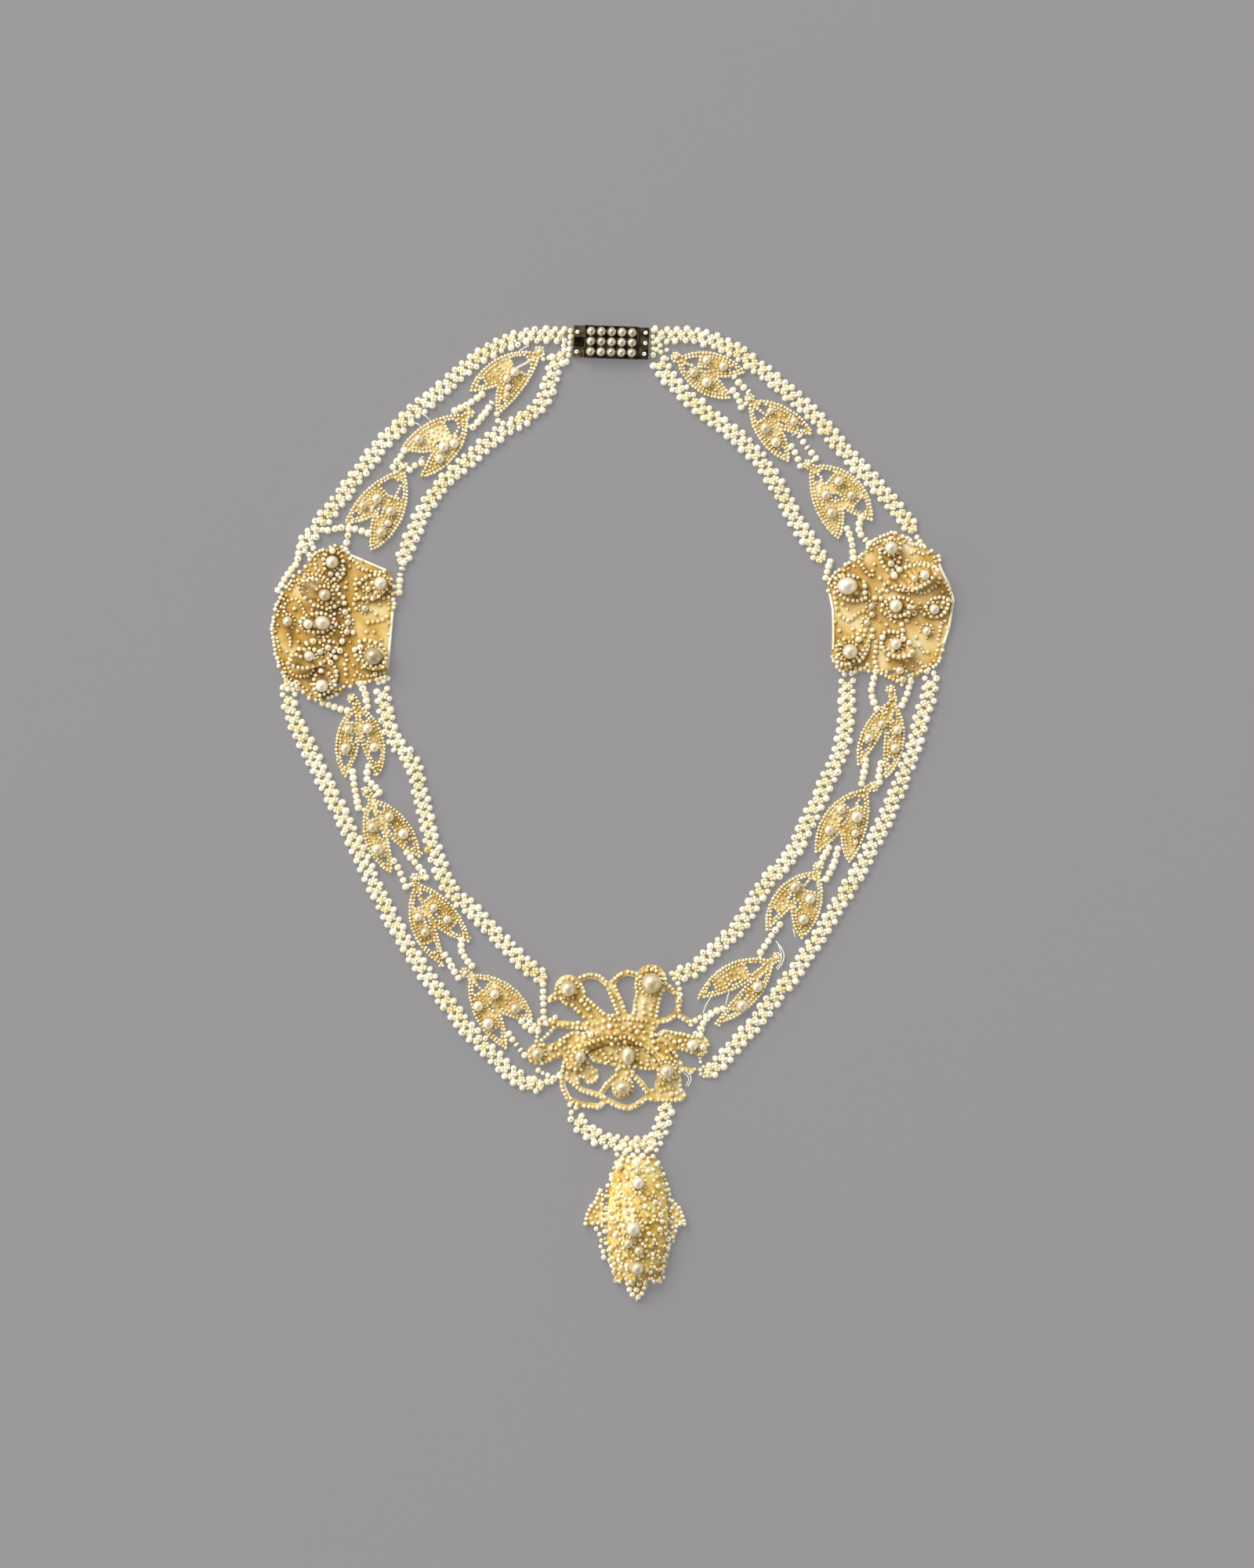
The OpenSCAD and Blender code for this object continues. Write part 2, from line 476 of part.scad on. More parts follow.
// A line of round-ended pieces of one width
module stroke(w, points) {
    for (i = [0 : len(points) - 2]) {
        step = points[i + 1] - points[i];
        translate(points[i]) rotate(atan2(step.y, step.x))
            translate([0, -w / 2]) square([norm(step), w]);
    }
    for (p = points)
        translate(p) circle(d = w + 0.04, $fn = 48);
}

module rosette_plate(outline, gaps) {
    color("gold") linear_extrude(plate_t)
        difference() {
            polygon(outline);
            for (g = gaps)
                stroke(g[2], [g[0], g[1]]);
        }
}

// Centre of the bowl that a petal is cut from, above the petal's root
function bowl_centre(petal) =
    let (inward = 0.18 * (petal[1] - petal[0]))
    [petal[0].x + inward.x, petal[0].y + inward.y, plate_t + petal[3] + petal_bowl];

module petal_outline(petal) {
    mid = (petal[0] + petal[1]) / 2;
    along = unit(petal[1] - petal[0]);
    side = petal[2] / 2 * [-along.y, along.x];
    intersection() {
        disc(petal[0], mid + side, petal[1], 0);
        disc(petal[0], mid - side, petal[1], 0);
    }
}

module petals(list) {
    color("khaki")
        for (petal = list)
            intersection() {
                translate([0, 0, plate_t]) linear_extrude(petal_bowl) petal_outline(petal);
                translate(bowl_centre(petal)) difference() {
                    sphere(r = petal_bowl);
                    sphere(r = petal_bowl - petal_t);
                }
            }
}

// Height at which a pearl rests on the plate, or in its petal's bowl
function rest_height(p, list) =
    p[3] < 0 ? plate_t + play / 2 + p[2] / 2 :
    let (
        c = bowl_centre(list[p[3]]),
        reach = petal_bowl - petal_t - play / 2 - p[2] / 2,
        out = norm([p.x - c.x, p.y - c.y])
    )
    c.z - sqrt(reach * reach - out * out);

module ornament_pearls(pearls, list) {
    color("white")
        for (p = pearls)
            pearl(p.x, p.y, rest_height(p, list), p[2]);
}

module centre_plate() {
    color("gold") linear_extrude(plate_t)
        for (s = CENTRE_STROKES)
            stroke(s[0], s[1]);
}

module centre_arch() {
    profile = [
        for (a = [0 : 22.5 : 180])
            [-arch_w / 2 * cos(a), plate_t + play / 2 + arch_h * sin(a)]
    ];
    color("khaki") sweep(ARCH, profile);
}

module centre_pearls() {
    ornament_pearls(CENTRE_PEARLS, []);
    color("white") {
        pearl(CUP_PEARL.x, CUP_PEARL.y, plate_t + play / 2 + CUP_PEARL.z / 2, CUP_PEARL.z);
        for (p = ARCH_PEARLS)
            pearl(p.x, p.y, plate_t + arch_h + play + p.z / 2, p.z);
    }
}

module pendant_body() {
    n = len(DROP_SIDES);
    last = len(DROP_ROWS) - 1;
    points = [
        for (row = DROP_ROWS, s = DROP_SIDES)
            [DROP_X + row[1] * s.x, row[0], drop_h * row[2] * s.y]
    ];
    sides = [
        for (i = [0 : last - 1], j = [0 : n - 1])
            let (k = (j + 1) % n)
            [i * n + k, i * n + j, (i + 1) * n + j, (i + 1) * n + k]
    ];
    start = [[for (j = [0 : n - 1]) j]];
    end = [[for (j = [n - 1 : -1 : 0]) last * n + j]];
    color("gold") polyhedron(points, concat(start, end, sides));
}

module pendant_flat(outline) {
    color("gold") linear_extrude(wing_t) polygon(outline);
}

// Height of the pendant's body along its middle
function drop_height(y) = drop_h * lookup(-y, [for (row = DROP_ROWS) [-row[0], row[2]]]);

module pendant_pearls() {
    lift = 0.25;
    color("white")
        for (p = DROP_PEARLS)
            pearl(p.x, p.y, drop_height(p.y) + p.z / 2 + lift, p.z);
}

// The clasp: its tray, the slot for the tongue, and the bar that holds the bands
CLASP_AT = [-0.4, 99.9, 0];
tray_floor = 1.9;
tray_wall = 0.25;
slot_h = 1;
slot_w = 4.6;
slot_z = 0.5;
bar_l = 2.2;
bar_w = 6.7;
bar_h = 2;
thread_hole_d = 0.8;
pearl_pitch_x = 2.18;
pearl_pitch_y = 2.15;

module on_clasp() {
    translate(CLASP_AT) rotate(clasp_turn) children();
}

module clasp_box() {
    inner = [clasp_l - 2 * tray_wall, clasp_w - 2 * tray_wall, clasp_h];
    color("dimgray") on_clasp() difference() {
        union() {
            translate([-clasp_l / 2, -clasp_w / 2, 0]) cube([clasp_l, clasp_w, clasp_h]);
            translate([clasp_l / 2 - play, -bar_w / 2, 0]) cube([bar_l + play, bar_w, bar_h]);
        }
        translate([-inner.x / 2, -inner.y / 2, tray_floor]) cube(inner);
        translate([-clasp_l / 2 - 1, -slot_w / 2, slot_z]) cube([clasp_l, slot_w, slot_h]);
        for (y = [-2.2, 0, 2.2])
            translate([clasp_l / 2 + bar_l * 0.6, y, -1]) cylinder(d = thread_hole_d, h = bar_h + 2);
    }
}

module clasp_tongue() {
    blade_t = slot_h - 4 * play;
    color("peru") on_clasp() difference() {
        union() {
            translate([-clasp_l / 2 - play - bar_l, -bar_w / 2, 0]) cube([bar_l, bar_w, bar_h - 0.3]);
            translate([-clasp_l / 2 - 1, -slot_w / 2 + 2 * play, slot_z + 2 * play])
                cube([clasp_l - 1, slot_w - 4 * play, blade_t]);
        }
        for (y = [-2.1, 2.1])
            translate([-clasp_l / 2 - bar_l * 0.65, y, -1]) cylinder(d = thread_hole_d, h = bar_h + 2);
    }
}

module clasp_thumb_piece() {
    color("black") on_clasp()
        translate([-clasp_l / 2 - play - 2.1, -0.9, bar_h - 0.3 + play / 2]) cube([2, 1.8, 0.6]);
}

module clasp_pearls() {
    color("white") on_clasp()
        for (i = [-2 : 2], j = [-1 : 1])
            pearl(i * pearl_pitch_x, j * pearl_pitch_y,
                tray_floor + play / 2 + clasp_pearl_d / 2, clasp_pearl_d - play);
}

clasp_box();
clasp_tongue();
clasp_thumb_piece();
clasp_pearls();
band(OUTER_LEFT_UPPER);  // band_outer_left_upper
band(INNER_LEFT_UPPER);  // band_inner_left_upper
band(OUTER_RIGHT_UPPER);  // band_outer_right_upper
band(INNER_RIGHT_UPPER);  // band_inner_right_upper
band(OUTER_LEFT_LOWER);  // band_outer_left_lower
band(INNER_LEFT_LOWER);  // band_inner_left_lower
band(INNER_RIGHT_LOWER);  // band_inner_right_lower
band(OUTER_RIGHT_LOWER);  // band_outer_right_lower
band(PENDANT_SWAG);  // pendant_swag
for (i = [0 : 2])
    leaf_pair(LEFT_UPPER_LEAVES[i]);
for (i = [0 : 2])
    leaf_pair(RIGHT_UPPER_LEAVES[i]);
for (i = [0 : 3])
    leaf_pair(LEFT_LOWER_LEAVES[i]);
for (i = [0 : 3])
    leaf_pair(RIGHT_LOWER_LEAVES[i]);
leaf_pearls(LEFT_UPPER_LEAVES);  // leaf_pearls_left_upper
leaf_pearls(RIGHT_UPPER_LEAVES);  // leaf_pearls_right_upper
leaf_pearls(LEFT_LOWER_LEAVES);  // leaf_pearls_left_lower
leaf_pearls(RIGHT_LOWER_LEAVES);  // leaf_pearls_right_lower
link_strings(STRINGS_LEFT_UPPER);  // strings_left_upper
link_strings(STRINGS_RIGHT_UPPER);  // strings_right_upper
link_strings(STRINGS_LEFT_LOWER);  // strings_left_lower
link_strings(STRINGS_RIGHT_LOWER);  // strings_right_lower
rosette_plate(LEFT_PLATE, LEFT_PLATE_GAPS);  // rosette_left_plate
petals(LEFT_PETALS);  // rosette_left_petals
ornament_pearls(LEFT_ROSETTE_PEARLS, LEFT_PETALS);  // rosette_left_pearls
rosette_plate(RIGHT_PLATE, RIGHT_PLATE_GAPS);  // rosette_right_plate
petals(RIGHT_PETALS);  // rosette_right_petals
ornament_pearls(RIGHT_ROSETTE_PEARLS, RIGHT_PETALS);  // rosette_right_pearls
centre_plate();
centre_arch();
centre_pearls();
pendant_body();
pendant_flat(LEFT_WING);  // pendant_wing_left
pendant_flat(RIGHT_WING);  // pendant_wing_right
pendant_flat(DROP_TIP);  // pendant_tip
pendant_pearls();
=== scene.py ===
# Pearl collar necklace: the looks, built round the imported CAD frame.
# %% [markdown]
# This collar is nineteenth-century seed-pearl work. Hundreds of tiny pearls are sewn with white
# horsehair on to cut plates of mother-of-pearl. The CAD frame brings the plates, the clasp and
# the places of the big pearls; this lesson adds the small pearls, the threads and the finishes.
# The first lines load the frame, because everything else is placed against it.

# %% Load the frame
import json
import math
import random
import bpy
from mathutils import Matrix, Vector
from mathutils.bvhtree import BVHTree


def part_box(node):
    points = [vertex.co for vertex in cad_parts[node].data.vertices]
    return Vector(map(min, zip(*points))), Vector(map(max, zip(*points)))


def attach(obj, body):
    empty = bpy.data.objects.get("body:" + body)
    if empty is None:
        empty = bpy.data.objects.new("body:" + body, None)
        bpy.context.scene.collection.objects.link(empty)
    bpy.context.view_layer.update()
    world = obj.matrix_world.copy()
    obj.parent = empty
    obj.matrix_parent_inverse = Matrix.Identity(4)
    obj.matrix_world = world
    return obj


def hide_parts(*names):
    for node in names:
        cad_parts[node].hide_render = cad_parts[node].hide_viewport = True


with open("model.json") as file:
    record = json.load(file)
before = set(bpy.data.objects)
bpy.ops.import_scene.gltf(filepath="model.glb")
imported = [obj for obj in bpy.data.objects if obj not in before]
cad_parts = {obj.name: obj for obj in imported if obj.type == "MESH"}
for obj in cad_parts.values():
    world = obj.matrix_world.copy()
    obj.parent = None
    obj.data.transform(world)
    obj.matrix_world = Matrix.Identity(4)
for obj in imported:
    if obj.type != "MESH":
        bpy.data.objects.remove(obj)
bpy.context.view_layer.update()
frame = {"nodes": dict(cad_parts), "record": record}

NODES = frame["nodes"]
MM = 0.001
rng = random.Random(1870)
print("frame:", len(NODES), "CAD nodes")

# %% [markdown]
# Colours are picked as sRGB hex values, as a paint picker shows them, but Blender's shaders
# count in linear light, so one function turns one into the other. A second small function adds
# a node with its settings and links, and on a colour ramp its stops. Materials and the
# bead-sewing modifier both use it. Every finish here ends alike, in a few colours and a fine
# relief, so a third function gives a shader these.

# %% Colour and node helpers
def paint(code):
    """Turns an sRGB hex colour into the linear one that a shader needs."""
    parts = [int(code[i:i + 2], 16) / 255 for i in (1, 3, 5)]
    return tuple(c / 12.92 if c <= 0.04045 else ((c + 0.055) / 1.055) ** 2.4 for c in parts) + (1,)


def add(tree, kind, values=None, links=None, stops=(), **settings):
    """Adds one node with its settings, socket values and links, and a ramp's hex colour stops."""
    made = tree.nodes.new(kind)
    for name, value in settings.items():
        setattr(made, name, value)
    for name, value in (values or {}).items():
        made.inputs[name].default_value = value
    for name, source in (links or {}).items():
        tree.links.new(source, made.inputs[name])
    for i, (place, code) in enumerate(stops):
        if i >= len(made.color_ramp.elements):
            made.color_ramp.elements.new(place)
        made.color_ramp.elements[i].position = place
        made.color_ramp.elements[i].color = paint(code)
    return made


def finish_named(name, **surface):
    """Starts a material, sets its shader's own sockets, and gives it, its tree and its shader."""
    material = bpy.data.materials.new(name)
    material.use_nodes = True
    tree = material.node_tree
    shader = tree.nodes["Principled BSDF"]
    for socket, value in surface.items():
        shader.inputs[socket.replace("_", " ")].default_value = value
    return material, tree, shader


def dress(tree, shader, shade, stops, height=None, strength=0.0, relief_mm=0.0):
    """Spreads a value over a shader's colours, and gives it a fine relief."""
    body = add(tree, "ShaderNodeValToRGB", {}, {"Fac": shade}, stops)
    tree.links.new(body.outputs["Color"], shader.inputs["Base Color"])
    if height is not None:
        bump = add(tree, "ShaderNodeBump", {"Strength": strength, "Distance": relief_mm * MM},
                   {"Height": height})
        tree.links.new(bump.outputs["Normal"], shader.inputs["Normal"])


print("half-way grey in linear light:", round(paint("#808080")[0], 3))

# %% [markdown]
# A pearl is nacre laid down in thousands of clear skins. The eye gets a creamy body colour, a
# soft deep gloss under a sharper one, and a faint change of hue over the ball. A coat layer over
# a slightly rough base gives the two glosses. Each bead carries its own number, tint, from the
# sewing step, so no two neighbours are quite the same cream.

# %% Pearl finishes
NACRE_IOR = 1.56
SKIN_MM = 0.5  # bumps of a pearl's skin, drawn coarser than they are, so that they show


def pearl_finish(name, stops, roughness, coat, bump_mm, mirror, glow, cloud_mm=1.2, spread=0.35,
                 polish=0.06):
    """Nacre of a pearl: a tint for each bead, a slow change of hue over it, a soft double gloss."""
    material, tree, shader = finish_named(
        name, Roughness=roughness, IOR=NACRE_IOR, Metallic=mirror, Coat_Weight=coat,
        Coat_Roughness=polish, Sheen_Weight=glow, Sheen_Roughness=0.35, Subsurface_Weight=0.3,
        Subsurface_Radius=(1.0, 0.7, 0.35), Subsurface_Scale=0.5 * MM)
    place = add(tree, "ShaderNodeTexCoord").outputs["Object"]
    tint = add(tree, "ShaderNodeAttribute", attribute_name="tint").outputs["Fac"]
    cloud = add(tree, "ShaderNodeTexNoise", {"Scale": 1 / (cloud_mm * MM), "Detail": 2.0},
                {"Vector": place}).outputs["Fac"]
    blend = add(tree, "ShaderNodeMath", {1: spread}, {0: cloud}, operation="MULTIPLY").outputs[0]
    mixed = add(tree, "ShaderNodeMath", {}, {0: tint, 1: blend}, operation="ADD").outputs[0]
    shade = add(tree, "ShaderNodeMath", {1: spread / 2}, {0: mixed},
                operation="SUBTRACT").outputs[0]
    skin = add(tree, "ShaderNodeTexNoise", {"Scale": 1 / (SKIN_MM * MM), "Detail": 1.0},
               {"Vector": place}).outputs["Fac"]
    dress(tree, shader, shade, stops, skin, 0.5, bump_mm)
    return material


# The bands' pearls: cream, chalky from wear, so more sheen than mirror
SEED_PEARL = pearl_finish(
    "seed_pearl_drilled_and_tumbled",
    [(0.0, "#FFF6DC"), (0.4, "#F9EAC2"), (0.75, "#F1DDA2"), (1.0, "#DDBA64")],
    roughness=0.22, coat=0.7, bump_mm=0.03, mirror=0.15, glow=0.8)
# The tiny pearls on the plates: yellower with age, and glossier
GOLD_SEED_PEARL = pearl_finish(
    "golden_seed_pearl_tumbled",
    [(0.0, "#FFF6DC"), (0.35, "#F7E7B8"), (0.7, "#E8D08A"), (1.0, "#C29C4A")],
    roughness=0.22, coat=0.8, bump_mm=0.01, mirror=0.24, glow=0.4)
# The big pearls: a silvery skin that mirrors the dark ceiling and the pale room
BIG_PEARL = pearl_finish(
    "round_pearl_high_lustre",
    [(0.0, "#EEE2C8"), (0.35, "#D8C69E"), (0.7, "#B8A47C"), (1.0, "#8C7C60")],
    roughness=0.3, coat=0.9, bump_mm=0.001, mirror=0.42, glow=0.3, cloud_mm=5.0, spread=0.5,
    polish=0.12)
# The clasp's pearls: greyer, and nearly mirrors
CLASP_PEARL = pearl_finish(
    "champagne_pearl_high_lustre",
    [(0.0, "#D2C6AE"), (0.5, "#B6A68A"), (1.0, "#8A795A")],
    roughness=0.2, coat=1.0, bump_mm=0.01, mirror=0.6, glow=0.4, cloud_mm=3.0, spread=1.6)
print("pearl finishes:", SEED_PEARL.name, GOLD_SEED_PEARL.name, BIG_PEARL.name, CLASP_PEARL.name)

# %% [markdown]
# Mother-of-pearl is the same nacre cut from a flat shell, sawn and polished to satin. The saw goes
# through its growth layers, so it shows wavy golden bands, amber patches and pale cream where the
# skins are thin. A warped band pattern, about a millimetre from line to line, gives the layers, and
# a slower cloud under it gives the amber patches. On the flowers a painted shade is added: an
# ambient occlusion node finds where petals and beads stand close over the shell, seen from any
# side, and there the colour is pushed down towards amber.

# %% Mother-of-pearl finishes
CLOUD_MM, WANDER_MM, SAW_MM = 5.5, 2.5, 0.45  # amber patches, the layers' waver, saw marks
SHADE_REACH_MM = 2.2  # painted shade falls where shell stands this near


def nacre_finish(name, stops, layer_mm, roughness, relief_mm=0.05, striped=0.38, milky=0.35,
                 hollow=0.0):
    """Cut mother-of-pearl: warped growth layers over amber clouds, polished to satin, and painted
    amber shade in its crevices when hollow is set.
    """
    material, tree, shader = finish_named(
        name, Roughness=roughness, IOR=NACRE_IOR, Coat_Weight=0.2, Coat_Roughness=0.25,
        Subsurface_Weight=milky, Subsurface_Radius=(1.0, 0.65, 0.28), Subsurface_Scale=0.8 * MM)
    place = add(tree, "ShaderNodeTexCoord").outputs["Object"]
    cloud = add(tree, "ShaderNodeTexNoise", {"Scale": 1 / (CLOUD_MM * MM), "Detail": 1.5,
                "Roughness": 0.5}, {"Vector": place}).outputs["Fac"]
    wander = add(tree, "ShaderNodeTexNoise", {"Scale": 1 / (WANDER_MM * MM), "Detail": 2.0},
                 {"Vector": place}).outputs["Color"]
    shift = add(tree, "ShaderNodeVectorMath", {"Scale": 1.6 * MM}, {0: wander},
                operation="SCALE").outputs["Vector"]
    warped = add(tree, "ShaderNodeVectorMath", {}, {0: place, 1: shift}).outputs["Vector"]
    layers = add(tree, "ShaderNodeTexWave", {"Scale": 1 / (layer_mm * MM) / 3.2,
                 "Distortion": 2.0, "Detail": 2.0}, {"Vector": warped},
                 bands_direction="DIAGONAL").outputs["Fac"]
    part = add(tree, "ShaderNodeMath", {1: striped}, {0: layers}, operation="MULTIPLY").outputs[0]
    both = add(tree, "ShaderNodeMath", {1: 1.7, 2: -0.35 - striped / 2}, {0: cloud},
               operation="MULTIPLY_ADD").outputs[0]
    depth = add(tree, "ShaderNodeMath", {}, {0: part, 1: both}, operation="ADD").outputs[0]
    # painted shade: ambient occlusion pushes the colour down the ramp towards amber where shell
    # stands near
    if hollow:
        sky = add(tree, "ShaderNodeAmbientOcclusion", {"Distance": SHADE_REACH_MM * MM}, samples=3)
        drop = add(tree, "ShaderNodeMath", {1: hollow, 2: -hollow}, {0: sky.outputs["AO"]},
                   operation="MULTIPLY_ADD").outputs[0]
        depth = add(tree, "ShaderNodeMath", {}, {0: depth, 1: drop}, operation="ADD").outputs[0]
    cut = add(tree, "ShaderNodeTexNoise", {"Scale": 1 / (SAW_MM * MM), "Detail": 3.0},
              {"Vector": place}).outputs["Fac"]
    relief = add(tree, "ShaderNodeMath", {1: 0.6}, {0: layers, 2: cut},
                 operation="MULTIPLY_ADD").outputs[0]
    dress(tree, shader, depth, stops, relief, 0.8, relief_mm)
    return material


# Leaves and centre: thin satin plates, seen between their rows of pearls
LEAF_NACRE = nacre_finish(
    "golden_mother_of_pearl_sawn_and_polished",
    [(0.0, "#9E7E38"), (0.3, "#C5A65A"), (0.55, "#DCC27E"), (0.8, "#ECDAA8"), (1.0, "#F8EED0")],
    layer_mm=1.1, roughness=0.34, striped=0.2)
# The flowers' back plates: broad calm panels, smoother, with painted amber shade where the petals
# stand over them
PLATE_NACRE = nacre_finish(
    "golden_mother_of_pearl_satin_plate",
    [(0.0, "#86601A"), (0.22, "#BA8E3C"), (0.44, "#CEA856"), (0.64, "#DEC47E"), (1.0, "#F2E4BC")],
    layer_mm=1.5, roughness=0.28, relief_mm=0.02, striped=0.08, hollow=0.4)
# The right flower's plate: the same in paler colours and with less painted shade, so that the left
# flower's plate is painted as the more shaded one
LESS_SHADED_PLATE_NACRE = nacre_finish(
    "light_golden_mother_of_pearl_satin_plate",
    [(0.0, "#94702A"), (0.22, "#C69E52"), (0.44, "#DAB872"), (0.64, "#E8D298"), (1.0, "#F6EAC8")],
    layer_mm=1.5, roughness=0.28, relief_mm=0.02, striped=0.08, hollow=0.35)
# Petals: carved across the layers, so strongly banded and ridged, with painted amber shade where
# they stand near plate and beads
PETAL_NACRE = nacre_finish(
    "deep_golden_mother_of_pearl_carved",
    [(0.0, "#806018"), (0.28, "#B88E34"), (0.55, "#D2AC52"), (0.8, "#E4CA84"), (1.0, "#F4E6C0")],
    layer_mm=1.1, roughness=0.38, relief_mm=0.12, striped=0.45, hollow=0.4)
# The pendant's scales: the yellowest shell, glossy, and milky all through
DROP_NACRE = nacre_finish(
    "yellow_mother_of_pearl_carved_scales",
    [(0.0, "#B48C2A"), (0.3, "#D2AC48"), (0.6, "#E4C66C"), (0.85, "#F0DA94"), (1.0, "#FAEEC4")],
    layer_mm=0.9, roughness=0.28, relief_mm=0.06, striped=0.3, milky=0.5)
# The pendant's wings: pale and polished
PALE_NACRE = nacre_finish(
    "pale_mother_of_pearl_polished",
    [(0.0, "#CFA044"), (0.3, "#E2C06C"), (0.6, "#EED694"), (0.85, "#F6E6BC"), (1.0, "#FFF5DC")],
    layer_mm=1.3, roughness=0.28)
# A plate's polished edge: nearly white, a painted highlight of the light it catches
EDGE_HIGHLIGHT_NACRE = nacre_finish(
    "mother_of_pearl_edge_painted_highlight",
    [(0.0, "#E6D6AC"), (0.5, "#F8EED2"), (1.0, "#FFFCF0")],
    layer_mm=1.3, roughness=0.25, relief_mm=0.02)
print("nacre finishes:", LEAF_NACRE.name, PLATE_NACRE.name, LESS_SHADED_PLATE_NACRE.name,
      PETAL_NACRE.name, DROP_NACRE.name, PALE_NACRE.name, EDGE_HIGHLIGHT_NACRE.name)

# %% [markdown]
# The clasp is an old silver alloy, cast and soldered, long since tarnished nearly black, with a
# copper-brown end plate where the plating has worn off and a blackened steel thumb piece.
# Tarnish is uneven, so a noise moves both colour and roughness. Metals keep the usual IOR. The
# horsehair is bleached nearly white, with a light satin gloss and a twist along it. The mouths of
# the pearls' drill holes get a dark brown, a painted shade for the inside of each hole.

# %% Metal, thread and drill hole finishes
WEAR_MM = 1.6


def metal_finish(name, dark, worn, roughness, scratch_mm):
    """Old metal: a dark skin with worn brighter patches and fine rubbing marks."""
    material, tree, shader = finish_named(name, Metallic=1.0)
    place = add(tree, "ShaderNodeTexCoord").outputs["Object"]
    wear = add(tree, "ShaderNodeTexNoise", {"Scale": 1 / (WEAR_MM * MM), "Detail": 5.0,
               "Roughness": 0.65}, {"Vector": place}).outputs["Fac"]
    matt = add(tree, "ShaderNodeMapRange", {"To Min": roughness - 0.1, "To Max": roughness + 0.15},
               {"Value": wear}).outputs["Result"]
    tree.links.new(matt, shader.inputs["Roughness"])
    marks = add(tree, "ShaderNodeTexNoise", {"Scale": 1 / (scratch_mm * MM), "Detail": 4.0},
                {"Vector": place}).outputs["Fac"]
    dress(tree, shader, wear, [(0.42, dark), (0.68, worn)], marks, 0.6, 0.04)
    return material


def speckled_finish(name, roughness, grain_mm, stops):
    """A dull skin whose colour wanders a little: horsehair, or the painted shade in a drill hole.
    """
    material, tree, shader = finish_named(name, Roughness=roughness)
    place = add(tree, "ShaderNodeTexCoord").outputs["Object"]
    grain = add(tree, "ShaderNodeTexNoise", {"Scale": 1 / (grain_mm * MM), "Detail": 2.0},
                {"Vector": place}).outputs["Fac"]
    dress(tree, shader, grain, stops)
    return material


CLASP_SILVER = metal_finish("tarnished_silver_cast_and_soldered", "#26231E", "#75664C",
                            roughness=0.38, scratch_mm=0.3)
CLASP_COPPER = metal_finish("worn_copper_brown_plate", "#4B3A2B", "#8A6B4C",
                            roughness=0.42, scratch_mm=0.25)
CLASP_BLACK = metal_finish("blackened_steel_filed", "#141414", "#3A3835",
                           roughness=0.4, scratch_mm=0.2)
HORSEHAIR = speckled_finish("white_horsehair_twisted", roughness=0.45, grain_mm=0.4,
                            stops=[(0.3, "#E9E2D2"), (0.7, "#FFFDF6")])
# painted shade: a dark brown for the inside of each drill hole
DRILL_HOLE_SHADE = speckled_finish("drill_hole_painted_shade", roughness=0.8, grain_mm=0.6,
                             stops=[(0.35, "#5A4118"), (0.65, "#9A7430")])
print("metals, thread and hole:", CLASP_SILVER.name, CLASP_COPPER.name, CLASP_BLACK.name,
      HORSEHAIR.name, DRILL_HOLE_SHADE.name)

# %% [markdown]
# The CAD nodes that are already the right shape stay as they are: plates, petals, arch and clasp.
# They only need their finish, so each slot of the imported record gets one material. The nodes
# that get a finer stand-in later take the same finish, for the record.

# %% Finishes on the carried-over CAD nodes
FINISHES = {
    "clasp_metal": CLASP_SILVER, "clasp_copper": CLASP_COPPER, "clasp_black": CLASP_BLACK,
    "clasp_pearls": CLASP_PEARL, "woven_band": SEED_PEARL, "pearl_string": SEED_PEARL,
    "leaf_nacre": LEAF_NACRE, "leaf_pearls": BIG_PEARL, "rosette_nacre": PLATE_NACRE,
    "petal_nacre": PETAL_NACRE, "ornament_pearls": BIG_PEARL, "centre_nacre": LEAF_NACRE,
    "pendant_nacre": DROP_NACRE, "wing_nacre": PALE_NACRE,
}
LESS_SHADED = {"rosette_right_plate": LESS_SHADED_PLATE_NACRE}  # paler: the left flower's plate keeps the darker colours, a painted shade
for part in frame["record"]["subparts"]:
    for holder in NODES[part["node"]].material_slots:
        holder.material = LESS_SHADED.get(part["node"], FINISHES[part["material_slot"]])

# %% [markdown]
# A seed pearl is a ball of one to two millimetres, drilled through for the thread. One is shaped
# from a coarse UV sphere, because thousands of copies are on their way: its two poles are pushed
# in to make the drilled ends, and it is laid down so that they point along the thread. A bead's
# diameter is one millimetre, so a bead's scale is simply its diameter in millimetres.

# %% Selection helpers
def only(piece):
    """Deselects everything but one object, and makes it the active one."""
    bpy.ops.object.select_all(action="DESELECT")
    piece.select_set(True)
    bpy.context.view_layer.objects.active = piece


def pick(piece, test):
    """Leaves edit mode's selection on the vertices that pass a test of their place."""
    bpy.ops.object.mode_set(mode="EDIT")
    bpy.ops.mesh.select_mode(type="VERT")
    bpy.ops.mesh.select_all(action="DESELECT")
    bpy.ops.object.mode_set(mode="OBJECT")
    for vertex in piece.data.vertices:
        vertex.select = test(vertex.co)
    bpy.ops.object.mode_set(mode="EDIT")


print("helpers ready: only, pick")

